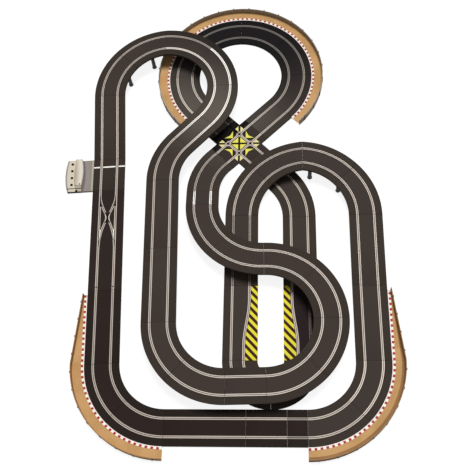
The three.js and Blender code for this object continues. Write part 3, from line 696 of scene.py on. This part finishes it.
reach = CROSSING_ARM * math.sqrt(0.5)
sections = lay_out(CIRCUIT, Station(CROSS_X + reach, CROSS_Y - reach, 0, -EIGHTH))
sections |= lay_out(LOOP, Station(CROSS_X + reach, CROSS_Y + reach, 0, EIGHTH))


def stations_of(section, trim, lip=0.0, fewest=1):
    steps = max(fewest, math.ceil(abs(section.turn) / FINEST_TURN))
    inner = [section.length * i / steps for i in range(1, steps)]
    first = [trim, trim + lip] if lip else [trim]
    last = [section.length - trim - lip, section.length - trim] if lip else [section.length - trim]
    return [along(section, distance) for distance in first + inner + last]


# Cross-sections: an upright plane cut into cells, with the air taken out
def outline(name, columns, rows, solid, paint):
    bpy.ops.mesh.primitive_plane_add(size=1, rotation=(0, math.pi / 2, 0))
    piece = bpy.context.object
    piece.name = name
    piece.location = (0, (columns[0] + columns[-1]) / 2, (rows[0] + rows[-1]) / 2)
    piece.scale = (rows[-1] - rows[0], columns[-1] - columns[0], 1)
    settle(piece)
    open_up(piece)
    cut_across(columns[1:-1], (0, 1, 0))
    cut_across(rows[1:-1], (0, 0, 1))
    pick(piece, lambda _, at: not solid(at.y, at.z))
    bpy.ops.mesh.delete(type="FACE")
    paint_faces(piece, lambda _, at: paint(at.y, at.z))
    return piece


def round_corners(piece, corners, size):
    open_up(piece, "VERT")
    pick(piece, lambda _, at: any(abs(at.y - u) < TOUCH and abs(at.z - v) < TOUCH for u, v in corners))
    bpy.ops.mesh.bevel(offset=size, segments=2, affect="VERTICES", profile=0.5)
    let_go()


def beside_slots(inner, distances):
    return {lane + way * distance for lane in (LANE, -inner) for way in (1, -1) for distance in distances}


DECK, DARK, HAZARD, MARGIN = 0, 1, 2, 3
DECK_ROWS = [0, CHANNEL_UNDER, SLOT_FLOOR, SKIN_UNDER, GROOVE_FLOOR, DECK_TOP]


def from_slot(u, inner):
    return abs(u - LANE) if u > 0 else abs(u + inner)


def draw_deck(name, inner, striped=False):
    def solid(u, v):
        lane = from_slot(u, inner)
        if abs(u) > HALF_TRACK - SKIRT:
            return True
        if v < SKIN_UNDER:
            channel = CHANNEL_UNDER < v and lane < CHANNEL
            return channel and not (lane < SLOT and v > SLOT_FLOOR)
        if lane < SLOT:
            return False
        return not (BAND < lane < GROOVE and v > GROOVE_FLOOR)

    def paint(u, v):
        lane = from_slot(u, inner)
        if striped and u < -inner - GROOVE and v > GROOVE_FLOOR:
            return HAZARD
        # Slot walls and the grooves beside the rails take the painted shade
        if lane < BAND or (lane < GROOVE and v > SKIN_UNDER):
            return DARK
        return MARGIN if abs(u) > LANE else DECK

    edges = {HALF_TRACK, -HALF_TRACK, HALF_TRACK - SKIRT, SKIRT - HALF_TRACK}
    columns = sorted(beside_slots(inner, (SLOT, CHANNEL, BAND, GROOVE)) | edges)
    piece = outline(name, columns, DECK_ROWS, solid, paint)
    round_corners(piece, [(HALF_TRACK, DECK_TOP), (-HALF_TRACK, DECK_TOP)], RIM_ROUND)
    return piece


def draw_rails(name, inner):
    def solid(u, v):
        lane = from_slot(u, inner)
        return RAIL_EDGE < lane < RAIL_REACH and (v > RAIL_FOOT or lane < RAIL_EDGE + FLANGE)

    columns = sorted(beside_slots(inner, (RAIL_EDGE, RAIL_EDGE + FLANGE, RAIL_REACH)))
    return outline(name, columns, [FLANGE_UNDER, RAIL_FOOT, RAIL_TOP], solid, lambda u, _: int(u > 0))


NARROW_LANE = LANE - NARROW_SHIFT
deck_outline = draw_deck("deck_outline", LANE)
swipe_outline = draw_deck("swipe_outline", LANE, striped=True)
hairpin_outline = draw_deck("hairpin_outline", NARROW_LANE)
rail_outline = draw_rails("rail_outline", LANE)
hairpin_rails = draw_rails("hairpin_rails", NARROW_LANE)


def resize_height(station, amount):
    bpy.ops.transform.resize(value=(1, 1, amount), center_override=station[:3])


def mould(shape, stations, name, lip=1.0):
    piece = twin(shape, name)
    put_down(piece, stations[0])
    open_up(piece)
    select_all()
    last = len(stations) - 1
    if lip != 1.0:
        resize_height(stations[0], lip)
    for i in range(last):
        here, there = stations[i], stations[i + 1]
        extrude(there.x - here.x, there.y - here.y, there.z - here.z)
        turn = there.heading - here.heading
        if turn:
            bpy.ops.transform.rotate(value=-turn, orient_axis="Z", center_override=there[:3])
        if lip != 1.0 and i in (0, last - 1):
            resize_height(there, lip if i else 1 / lip)
    face_outwards()
    return piece


# Deck plastics: painted light copies of one black plastic. The raised decks are painted lighter where the
# rest are darkest, the left and bottom sections are painted darker as painted shade, the side swipe in is
# painted dark as the flyover's painted shadow, and the power track carries its printed start line
DECK_FINISHES_AND_SHADINGS = {
    "track": (
        track_plastic("track_black", (24, 21, 23), (65, 56, 51), (100, 92, 84)),
        track_plastic("track_margin", (20, 18, 18), (60, 52, 46), (80, 74, 66)),
    ),
    "raised": (
        track_plastic("raised_track_black", (52, 45, 41), (65, 55, 50), (100, 92, 84)),
        track_plastic("raised_track_margin", (40, 35, 31), (58, 49, 43), (76, 70, 61)),
    ),
    "outer": (
        track_plastic("outer_track_black", (43, 33, 29), (44, 33, 30), (52, 42, 38)),
        track_plastic("outer_track_margin", (38, 31, 27), (40, 32, 28), (46, 39, 34)),
    ),
    "side_swipe_in": (track_plastic("shaded_track", *[(40, 29, 31)] * 3),) * 2,
    "power_track": (start_line_track(sections["power_track"].start),) * 2,
}
# Rail steels: painted light copies of one steel, brighter copies as painted highlight and darker ones as
# painted shade; each section, and the left lane of some, takes the copy for the light that falls there
plain_metal = rail_steel("rail_steel", STEEL)
raised_metal = rail_steel("raised_rail_steel", ((206, 197, 186), (178, 167, 157), (252, 246, 238)))
light_metal = rail_steel("light_rail_steel", LIGHT_STEEL)
shaded_metal = rail_steel("dim_rail_steel", ((84, 80, 76), (132, 121, 113), (142, 134, 127)))
bright_metal = rail_steel("bright_rail_steel", ((252, 246, 240),) * 3)
RAIL_SHADINGS = {
    **dict.fromkeys(("power_track", "flyover_ramp", "right_corner_a", "loop_6"), light_metal),
    **dict.fromkeys(("bottom_quarter", "infield_up"), shaded_metal),
    "descent_link": bright_metal,
    "flyover_3": rail_steel("shining_rail_steel", ((228, 219, 209),) * 3),
}
LEFT_RAIL_SHADINGS = {
    "side_swipe_in": rail_steel("shaded_rail_steel", ((84, 70, 70),) * 3),
    "flyover_3": light_metal,
    "flyover_4": bright_metal,
}
slot_shade = dark_slot()
stripes = hazard_paint()


# Side swipes: the inner lane eases towards the outer one, station by station
def ease_share(share):
    share = min(max((share - SHIFT_START) / (1 - 2 * SHIFT_START), 0), 1)
    return share * share * (3 - 2 * share)


def shift_inner_lane(piece, section, stations, narrowing):
    open_up(piece, "VERT")
    side = 1 if math.sin(section.start.heading) < 0 else -1
    reach = GROOVE + CLOSE
    for station in stations:
        share = ease_share(math.dist(station[:2], section.start[:2]) / section.length)
        shift = side * NARROW_SHIFT * (share if narrowing else 1 - share)
        x, y = aside(station, -LANE)[:2]
        pull(piece, lambda _, at: abs(at.y - y) < CLOSE and abs(at.x - x) < reach, (shift, 0, 0))
    let_go()


for name, section in sections.items():
    if name == "lane_changer":
        continue
    swipe = name.startswith("side_swipe")
    hairpin = name.startswith("hairpin")
    raised = name.startswith("flyover")
    fewest = SWIPE_STEPS if swipe else 1
    deck_shape = swipe_outline if swipe else hairpin_outline if hairpin else deck_outline
    rail_shape = hairpin_rails if hairpin else rail_outline
    places = stations_of(section, JOINT, LIP, fewest=fewest)
    rail_places = stations_of(section, JOINT + RAIL_END, fewest=fewest)
    deck = mould(deck_shape, places, f"track_{name}", lip=DECK_LIP)
    rails = mould(rail_shape, rail_places, f"rails_{name}")
    if swipe:
        narrowing = name == "side_swipe_in"
        shift_inner_lane(deck, section, places, narrowing)
        shift_inner_lane(rails, section, rail_places, narrowing)
    metal = RAIL_SHADINGS.get(name, raised_metal if raised else plain_metal)
    left_metal = LEFT_RAIL_SHADINGS.get(name, metal)
    area = "outer" if name.startswith(("left", "bottom")) else "raised" if raised else "track"
    top, margin = DECK_FINISHES_AND_SHADINGS.get(name, DECK_FINISHES_AND_SHADINGS[area])
    finish(deck, "track", "track_black", top, slot_shade, stripes, margin, stands_for=[section.node])
    finish(rails, "track", "rail_steel", metal, left_metal, smooth=0)

# Piers: one column drawn once, then copied and pulled up to each deck
bpy.ops.mesh.primitive_circle_add(vertices=PIER_SIDES, radius=PIER_FOOT, fill_type="NGON")
pier_pattern = bpy.context.object
open_up(pier_pattern)
select_all()
wide, tall = PIER_FOOT, 0.0
for radius, height in PIER_STEPS:
    extrude(0, 0, height - tall)
    bpy.ops.transform.resize(value=(radius / wide, radius / wide, 1), center_override=(0, 0, height))
    wide, tall = radius, height
face_outwards()
pier_grey = smooth_paint("pier_grey", (50, 48, 45), (74, 70, 66), 0.62)


def stand_pier(name, station, offset, stands_for=()):
    pier = twin(pier_pattern, name)
    open_up(pier, "VERT")
    top = station.z - SEAT if stands_for else station.z + SKIN_UNDER
    pull(pier, lambda _, at: at.z > PIER_TOP / 2, (0, 0, top - PIER_TOP))
    put_down(pier, aside(station, offset)._replace(z=0, heading=0))
    finish(pier, "track", "pier_grey", pier_grey, stands_for=stands_for)


RING_PIERS = ("ramp", "4", "diagonal", "6", "long_a", "long_b", "7", "8", "10", "12", "14")
for name in ("bridge_rise_b", *(f"flyover_{part}" for part in RING_PIERS), "descent_link"):
    section = sections[name]
    stand_pier(f"pier_under_{name}", along(section, section.length - PIER_FROM_END), 0)
SIDE_PIERS = {
    "pier_flyover_1": ("flyover_1", 0.63),
    "pier_flyover_2": ("flyover_2", 0.57),
    "pier_bridge_1": ("bridge_fall_a", 0.2),
    "pier_bridge_2": ("bridge_fall_b", 0.1),
}
for name, (owner, share) in SIDE_PIERS.items():
    section = sections[owner]
    station = along(section, section.length * share)
    stand_pier(name, station, SIDE_PIER_INSET - HALF_TRACK, stands_for=[name])
throw_away(pier_pattern)

# Borders: a tan apron with a red and white kerb next to the track
APRON, RED, WHITE, SHADED = 0, 1, 2, 3
apron_tan = speckled_plastic("border_tan", (198, 152, 94), (212, 168, 112), (178, 134, 78), 0.78)
# Painted shadow at the foot of the barrier, for the outer strip of the right borders
apron_shadow = speckled_plastic("border_painted_shadow", (152, 110, 64), (168, 126, 80), (130, 92, 52), 0.8)
kerb_red = smooth_paint("kerb_red", (180, 26, 30), (144, 20, 24), 0.5, shine=0.2)
kerb_white = smooth_paint("kerb_white", (250, 243, 234), (222, 208, 194), 0.5)
barrier_grey = smooth_paint("barrier_grey", (168, 156, 142), (136, 124, 110), 0.55)
barrier_tan = smooth_paint("barrier_tan", (168, 126, 80), (140, 102, 62), 0.6, shine=0.2)
post_grey = smooth_paint("post_grey", (112, 104, 98), (88, 80, 74), 0.55)


def border_outline(side):
    reaches = [0, SKIRT, KERB_WHITE, KERB, KERB + KERB_STEP, BORDER - SHADED_EDGE, BORDER - SKIRT, BORDER]
    columns = sorted(side * (BORDER_INNER + reach) for reach in reaches)

    def solid(u, v):
        across = abs(u) - BORDER_INNER
        return v > SKIN_UNDER or across < SKIRT or across > BORDER - SKIRT

    def paint(u, v):
        across = abs(u) - BORDER_INNER
        if across > BORDER - SHADED_EDGE:
            return SHADED
        if v < SKIN_UNDER or across > KERB + KERB_STEP:
            return APRON
        return WHITE if across < KERB_WHITE else RED

    piece = outline(f"border_outline_{side}", columns, [0, SKIN_UNDER, DECK_TOP], solid, paint)
    open_up(piece, "VERT")
    crest = BORDER_INNER + KERB
    pull(piece, lambda _, at: at.z > DECK_TOP - TOUCH and abs(abs(at.y) - crest) < TOUCH, (0, 0, KERB_RISE))
    round_corners(piece, [(side * (BORDER_INNER + BORDER), DECK_TOP)], BORDER_ROUND)
    return piece


border_left = border_outline(1)
border_right = border_outline(-1)


def whiten_blocks(piece, places, side):
    offset = side * (BORDER_INNER + (KERB_WHITE + KERB) / 2)
    ends = [aside(place, offset) for place in places]
    middles = [((here.x + there.x) / 2, (here.y + there.y) / 2) for here, there in zip(ends, ends[1:])]

    def block_paint(face, at):
        if face.material_index != RED:
            return face.material_index
        block = min(range(len(middles)), key=lambda i: math.dist(middles[i], at[:2]))
        return RED if block % 2 else WHITE

    paint_faces(piece, block_paint)


def block_ends(length, outer=1.0):
    blocks = round(length * outer / KERB_PERIOD)
    ends = [(i + share) * length / blocks for i in range(blocks) for share in (0, WHITE_SHARE)] + [length]
    return [min(max(end, JOINT), length - JOINT) for end in ends]


def spread(stretch):
    total = sum(section.length for section in stretch)
    places = []
    for distance in block_ends(total, 1 + (HALF_TRACK + KERB) / CURVE_RADIUS):
        for section in stretch:
            if distance <= section.length or section is stretch[-1]:
                places.append(along(section, distance))
                break
            distance -= section.length
    return places


def finish_border(piece, places, side, node):
    whiten_blocks(piece, places, side)
    # Right borders paint their outer strip as the barrier's painted shadow; the others keep it tan
    edge = apron_shadow if "right" in node else apron_tan
    coats = (apron_tan, kerb_red, kerb_white, edge)
    finish(piece, "track", "border_tan", *coats, stands_for=[node], smooth=25)


BORDERED_BENDS = {
    "border_right_corner": ("right_corner_a", "right_corner_b"),
    "border_left_corner": ("left_corner_a", "left_corner_b"),
    "border_loop_1": ("loop_1", "loop_2"),
    "border_loop_2": ("loop_3", "loop_4"),
    "border_loop_3": ("loop_5", "loop_6"),
}
for name, owners in BORDERED_BENDS.items():
    shape, side = (border_right, -1) if "loop" in name else (border_left, 1)
    places = spread([sections[owner] for owner in owners])
    finish_border(mould(shape, places, name), places, side, name)


# Of a lead, the rows between two reaches from the track are drawn in by up to the third
SHADE_LINE = BORDER - SHADED_EDGE
LEAD_BANDS = (
    (SHADE_LINE - 0.0005, SHADE_LINE + 0.0005, SHADE_LINE - KERB - 2 * KERB_STEP),
    (BORDER - SKIRT - 0.0015, BORDER + 0.001, BORDER - TIP),
)


def taper(piece, places, grows):
    open_up(piece, "VERT")
    for place in places:
        run = math.dist(place[:2], places[0][:2]) / math.dist(places[-1][:2], places[0][:2])
        share = run if grows else 1 - run
        cos, sin = math.cos(place.heading), math.sin(place.heading)
        for low, high, reach in LEAD_BANDS:
            shift = reach * (1 - share)

            def in_band(_, at):
                dx, dy = at.x - place.x, at.y - place.y
                out = dy * cos - dx * sin - HALF_TRACK - SEAT
                return abs(dx * cos + dy * sin) < CLOSE and low < out < high

            pull(piece, in_band, (sin * shift, -cos * shift, 0))
    let_go()


def lead_places(section, grows):
    length = section.length * LEAD_SHARE
    first = section.length - length if grows else 0
    return [along(section, first + reach) for reach in block_ends(length)]


lead_edges = {}
for name, owner, grows in (
    ("border_right_lead", "right_straight_b", True),
    ("border_left_lead", "left_straight", False),
):
    places = lead_places(sections[owner], grows)
    lead = mould(border_left, places, name)
    taper(lead, places, grows)
    finish_border(lead, places, 1, name)
    widths = (TIP, BORDER) if grows else (BORDER, TIP)
    lead_edges[name] = [
        aside(place, BORDER_INNER + width - BARRIER_INSET)
        for place, width in zip((places[0], places[-1]), widths)
    ]

# Barriers: a thin wall with a bead along its top, and clips around its outer side
BARRIER_TOP = BARRIER_FOOT + BARRIER_TALL
bead_columns = [-BARRIER_THICK - BEAD, -BARRIER_THICK, 0, BEAD]
wall_rows = [BARRIER_FOOT, BARRIER_TOP - BEAD_TALL, BARRIER_TOP]
wall_outline = outline(
    "barrier_outline", bead_columns, wall_rows,
    lambda u, v: -BARRIER_THICK < u < 0 or v > wall_rows[1], lambda u, v: 0,
)
round_corners(wall_outline, [(-BARRIER_THICK - BEAD, BARRIER_TOP), (BEAD, BARRIER_TOP)], BEAD_ROUND)
POST_TALL = BARRIER_TOP + POST_RISE
POST_INSIDE = BARRIER_INSET + SEAT


def post_of_barrier():
    leg_middle = POST_INSIDE + POST_THICK / 2
    bpy.ops.mesh.primitive_cube_add(size=1, location=(0, leg_middle, POST_TALL / 2))
    post = bpy.context.object
    post.scale = (POST_WIDE, POST_THICK, POST_TALL)
    settle(post)
    open_up(post)
    cut_across([BARRIER_FOOT], (0, 0, 1))
    pick(post, lambda _, at: at.y < POST_INSIDE + TOUCH and at.z > BARRIER_FOOT)
    extrude(0, -(POST_INSIDE + BARRIER_THICK / 2), 0)
    open_up(post, "EDGE")
    pick(post, lambda _, at: at.z > POST_TALL - TOUCH and abs(at.y) > BARRIER_THICK / 2 - TOUCH)
    bpy.ops.mesh.bevel(offset=POST_ROUND, segments=2)
    let_go()
    return post


post_pattern = post_of_barrier()


def between(here, there, share):
    x = here.x + (there.x - here.x) * share
    y = here.y + (there.y - here.y) * share
    return Station(x, y, 0, math.atan2(there.y - here.y, there.x - here.x))


def lead_path(name):
    return [between(*lead_edges[name], i / LEAD_STEPS) for i in range(LEAD_STEPS + 1)]


def bend_edge(names, side):
    offset = side * (BORDER_INNER + BORDER - BARRIER_INSET)
    places = []
    for name in names:
        places += stations_of(sections[name], JOINT)[(1 if places else 0):]
    return [aside(place, offset) for place in places]


def set_posts(path, side, name):
    total = sum(math.dist(here[:2], there[:2]) for here, there in zip(path, path[1:]))
    spacing = total / round(total / POST_SPACING)
    run = 0.0
    wanted = spacing / 2
    count = 0
    for here, there in zip(path, path[1:]):
        length = math.dist(here[:2], there[:2])
        while run + length > wanted:
            place = between(here, there, (wanted - run) / length)
            post = twin(post_pattern, f"{name}_post_{count}")
            put_down(post, place if side > 0 else place._replace(heading=place.heading + math.pi))
            finish(post, "track", "barrier_grey", post_grey)
            count += 1
            wanted += spacing
        run += length


def build_barrier(name, path, side):
    shape, coat = (wall_outline, barrier_tan) if side > 0 else (right_wall_outline, barrier_grey)
    wall = mould(shape, path, name)
    finish(wall, "track", "barrier_grey", coat, stands_for=[name])
    set_posts(path, side, name)


right_wall_outline = twin(wall_outline, "right_wall_outline")
right_wall_outline.scale = (1, -1, 1)
settle(right_wall_outline)

right_bend = bend_edge(BORDERED_BENDS["border_right_corner"], 1)
left_bend = bend_edge(BORDERED_BENDS["border_left_corner"], 1)
build_barrier("barrier_right", lead_path("border_right_lead") + right_bend[1:], 1)
build_barrier("barrier_left", left_bend[:-1] + lead_path("border_left_lead"), 1)
build_barrier("barrier_loop", bend_edge([f"loop_{i}" for i in range(1, 7)], -1), -1)
throw_away(deck_outline, swipe_outline, hairpin_outline, rail_outline, hairpin_rails)
throw_away(border_left, border_right, wall_outline, right_wall_outline, post_pattern)

# Power base: a low deck beside the power track, and a raised cover with a bowed ridge
PLATEAU_RIGHT = -BORDER_INNER
PLATEAU_LEFT = PLATEAU_RIGHT - PLATEAU_WIDE
COVER_RIGHT = PLATEAU_LEFT - SEAT
COVER_LEFT = COVER_RIGHT - COVER_WIDE
BASE_START = JOINT
BASE_END = BASE_LONG - JOINT
power_start = sections["power_track"].start
base_place = power_start._replace(z=0, heading=power_start.heading - math.pi / 2)


def base_plastic(name, edge, bowed, first, *bands):
    shop = Shop(name)
    x, y, _ = shop.split(shop.from_start(base_place))
    share = (y - BASE_START) / (BASE_END - BASE_START)
    across = x - edge - (1 - share * (1 - share) * 4) * bowed
    tone = first
    for start, end, color in bands:
        tone = shop.blend(across.ease(start, end), tone, color)
    speck, broad = shop.specks()
    tone = shop.scaled(tone, 1.06 - speck * 0.12 - broad * 0.06)
    return shop.coat(speck, 0.00012, 0.5, tone, 0.5 + (speck - 0.5) * 0.2, 0.3)


# Painted light and shade in the bands: on the cover a grey band of painted shade along its bowed side and a
# darker valley of painted shade right of the buttons; on the deck a purple-grey painted shadow of the ridge
# beside it, fading to the deck's olive grey; on the ridge painted shade at its left and a painted highlight
# towards its right
base_beige = base_plastic(
    "base_beige", COVER_LEFT, COVER_BOW, (160, 151, 143),
    (0.006, 0.011, (218, 208, 188)), (0.040, 0.046, (186, 173, 150)),
)
base_grey = base_plastic(
    "base_grey", COVER_RIGHT + RIDGE_BOW, -RIDGE_BOW, (116, 104, 102),
    (0.006, 0.011, (150, 139, 139)), (0.020, 0.034, (146, 139, 122)),
)
ridge_beige = base_plastic(
    "ridge_beige", COVER_RIGHT + RIDGE_BOW, -RIDGE_BOW, (192, 178, 154),
    (-0.040, -0.012, (226, 217, 204)), (-0.005, -0.001, (206, 198, 190)),
)
strip_grey = smooth_paint("strip_grey", (174, 165, 150), (150, 141, 128), 0.55)
base_shade = smooth_paint("base_shade", (92, 84, 74), (72, 66, 58), 0.6)
button_black = smooth_paint("button_black", (20, 13, 8), (34, 25, 17), 0.7, shine=MATT)
inlet_dark = smooth_paint("inlet_dark", (34, 26, 20), (52, 42, 34), 0.7, shine=MATT)
led_red = smooth_paint("led_red", (56, 18, 12), (34, 12, 8), 0.5, shine=MATT)


def flat_plate(name, left, right, start, end, height, rows):
    middle = ((left + right) / 2, (start + end) / 2, height)
    bpy.ops.mesh.primitive_plane_add(size=1, location=middle)
    plate = bpy.context.object
    plate.name = name
    plate.scale = (right - left, end - start, 1)
    settle(plate)
    open_up(plate)
    cut_across(rows, (0, 1, 0))
    let_go()
    return plate


def bow(plate, edge, amount, start, end, rows):
    open_up(plate, "VERT")
    for row in (start, *rows, end):
        share = (row - start) / (end - start)
        shift = amount * (1 - 4 * share * (1 - share))
        pull(plate, lambda _, at: abs(at.x - edge) < TOUCH and abs(at.y - row) < TOUCH, (shift, 0, 0))
    let_go()


def on_rim(edge, height):
    level = all(abs(corner.co.z - height) < TOUCH for corner in edge.verts)
    return level and any(abs(face.normal.z) < 0.5 for face in edge.link_faces)


def thicken(plate, height, rounding):
    open_up(plate)
    select_all()
    extrude(0, 0, height - plate.data.vertices[0].co.z)
    face_outwards()
    open_up(plate, "EDGE")
    pick(plate, lambda edge, _: on_rim(edge, height))
    bpy.ops.mesh.bevel(offset=rounding, segments=4)
    let_go()


def carve(piece, cutter):
    take(piece)
    bpy.ops.object.modifier_add(type="BOOLEAN")
    cut = piece.modifiers[-1]
    cut.operation = "DIFFERENCE"
    cut.solver = "EXACT"
    cut.object = cutter
    bpy.ops.object.modifier_apply(modifier=cut.name)
    throw_away(cutter)


def round_plug(x, y, bottom, top, radius, ease=0.0):
    middle = (x, y, (bottom + top) / 2)
    bpy.ops.mesh.primitive_cylinder_add(
        vertices=PLUG_SIDES, radius=radius, depth=top - bottom, location=middle
    )
    plug = bpy.context.object
    settle(plug)
    if ease:
        open_up(plug, "EDGE")
        pick(plug, lambda edge, _: on_rim(edge, top))
        bpy.ops.mesh.bevel(offset=ease, segments=3)
        let_go()
    return plug


def even_rows(start, end):
    return [start + (end - start) * i / BOW_STEPS for i in range(1, BOW_STEPS)]


LIP_END = BASE_START + LIP_LONG
cover_rows = [LIP_END, LIP_END + LIP_STEP, *even_rows(LIP_END, BASE_END)]
cover = flat_plate("power_base_cover", COVER_LEFT, COVER_RIGHT, BASE_START, BASE_END, 0, cover_rows)
bow(cover, COVER_LEFT, COVER_BOW, BASE_START, BASE_END, cover_rows)
thicken(cover, COVER_TALL, COVER_ROUND)
open_up(cover, "VERT")
pull(cover, lambda _, at: at.z > COVER_TALL / 2 and at.y < LIP_END + TOUCH, (0, 0, LIP_TALL - COVER_TALL))
let_go()

RIDGE_START = BASE_START + RIDGE_FROM_FRONT
RIDGE_END = BASE_END - RIDGE_INSET
RIDGE_RIGHT = COVER_RIGHT + RIDGE_BOW
RIDGE_LEFT = COVER_RIGHT - RIDGE_WIDE
ridge_rows = even_rows(RIDGE_START, RIDGE_END)
ridge = flat_plate(
    "power_base_ridge", RIDGE_LEFT, RIDGE_RIGHT, RIDGE_START, RIDGE_END, PLATEAU_TALL + SEAT, ridge_rows
)
bow(ridge, RIDGE_RIGHT, -RIDGE_BOW, RIDGE_START, RIDGE_END, ridge_rows)
thicken(ridge, RIDGE_TALL, RIDGE_ROUND)

button_x = COVER_LEFT + BUTTON_FROM_EDGE
button_middle = BASE_LONG / 2 + BUTTON_SHIFT
button_foot = COVER_TALL - BUTTON_DEEP
for i in range(4):
    y = button_middle + (i - 1.5) * BUTTON_PITCH
    well_foot = button_foot - BUTTON_RUN
    carve(cover, round_plug(button_x, y, well_foot, COVER_TALL + OVERCUT, BUTTON_RADIUS + SEAT))
    node = f"button_{i + 1}"
    button = round_plug(button_x, y, button_foot, COVER_TALL + BUTTON_PROUD, BUTTON_RADIUS, PLUG_ROUND)
    button.name = node
    put_down(button, base_place)
    finish(button, node, "button_black", button_black, stands_for=[node])

led_x = COVER_RIGHT - COVER_ROUND - LED_FROM_RIDGE
led_y = RIDGE_START + COVER_ROUND + LED_FROM_RIDGE
led_foot = RIDGE_TALL - LED_DEEP
carve(ridge, round_plug(led_x, led_y, led_foot - SEAT, RIDGE_TALL + OVERCUT, LED_RADIUS + SEAT))
led = round_plug(led_x, led_y, led_foot, RIDGE_TALL, LED_RADIUS, PLUG_ROUND)
led.name = "power_led"

inlet_x = COVER_LEFT + INLET_FROM_EDGE
bpy.ops.mesh.primitive_cube_add(size=1, location=(inlet_x, 0, INLET_FOOT + LIP_TALL / 2))
inlet = bpy.context.object
inlet.scale = (INLET_WIDE, 2 * INLET_DEEP, LIP_TALL)
settle(inlet)
carve(cover, inlet)


# The notch's inner faces are painted dark: painted shade in the notch, standing also for the dark socket
# inside it
def inlet_paint(_, at):
    return int(abs(at.x - inlet_x) < INLET_WIDE / 2 + TOUCH and CLOSE < at.y < INLET_DEEP + TOUCH)


def strip_paint(_, at):
    across = PLATEAU_RIGHT - at.x
    return 1 if across < EDGE_STRIP - STRIP_LINE else 2 if across < EDGE_STRIP else 0


paint_faces(cover, inlet_paint)

plateau = flat_plate("power_base_deck", PLATEAU_LEFT, PLATEAU_RIGHT, BASE_START, BASE_END, 0, [])
open_up(plateau)
strip_at = PLATEAU_RIGHT - EDGE_STRIP
cut_across((strip_at, strip_at + STRIP_LINE), (1, 0, 0))
paint_faces(plateau, strip_paint)
thicken(plateau, PLATEAU_TALL, RIM_ROUND)

BASE_PIECES = (
    (cover, "base_beige", (base_beige, inlet_dark), "power_base_cover"),
    (ridge, "base_beige", (ridge_beige,), "power_base_cover"),
    (led, "led_red", (led_red,), "power_led"),
    (plateau, "base_grey", (base_grey, strip_grey, base_shade), "power_base_deck"),
)
for piece, slot, finishes, node in BASE_PIECES:
    put_down(piece, base_place)
    finish(piece, "track", slot, *finishes, stands_for=[node])

# Pieces whose solids are right already get their finishes
flipper_cream = smooth_paint("flipper_cream", (252, 244, 222), (226, 212, 176), 0.35)
CARRIED = {
    "crossing": crossing_finish(Station(CROSS_X, CROSS_Y, 0, math.pi / 4)),
    "lane_changer": changer_finish(sections["lane_changer"].start),
    "flipper_left": flipper_cream,
    "flipper_right": flipper_cream,
}
for node, material in CARRIED.items():
    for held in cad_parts[node].material_slots:
        held.material = material

# Camera, floor and light
let_go()
camera_place = (CROSS_X + 0.2185, CROSS_Y - 2.0236, 3.2455)
camera_tilt = [math.radians(angle) for angle in (25.0005, 3.4437, 0.9857)]
bpy.ops.object.camera_add(location=camera_place, rotation=camera_tilt)
camera = bpy.context.object
camera.data.lens = 57.58
bpy.context.scene.camera = camera

bpy.ops.mesh.primitive_plane_add(size=14, location=(0, 0, -0.0005))
floor = bpy.context.object
floor.name = "floor"
floor_shop = Shop("floor_white")
floor_shop.set(Base_Color=(0.19, 0.19, 0.19, 1), Roughness=0.9)
seen = (floor_shop.ray("Camera") + floor_shop.ray("Glossy") + floor_shop.ray("Transmission")).least(1.0)
glow = floor_shop.blend(seen, (0, 0, 0), (255, 255, 255))
floor_shop.set(Emission_Color=glow, Emission_Strength=0.87)
floor.data.materials.append(floor_shop.result)

# The sky lights the set at this strength and shows itself to the camera at 1
AMBIENT = 0.24
sky = Shop("studio", world=True)
sky.set(Color=(1, 1, 1, 1), Strength=sky.ray("Camera") * (1 - AMBIENT) + AMBIENT)
bpy.context.scene.world = sky.result

bpy.ops.object.light_add(type="SUN", location=(0, 1, 4), rotation=(math.radians(-17), math.radians(6), 0))
studio_lamp = bpy.context.object
studio_lamp.name = "studio_lamp"
studio_lamp.data.angle = math.radians(24)
studio_lamp.data.energy = 2.42

bpy.context.scene.view_settings.view_transform = "Standard"
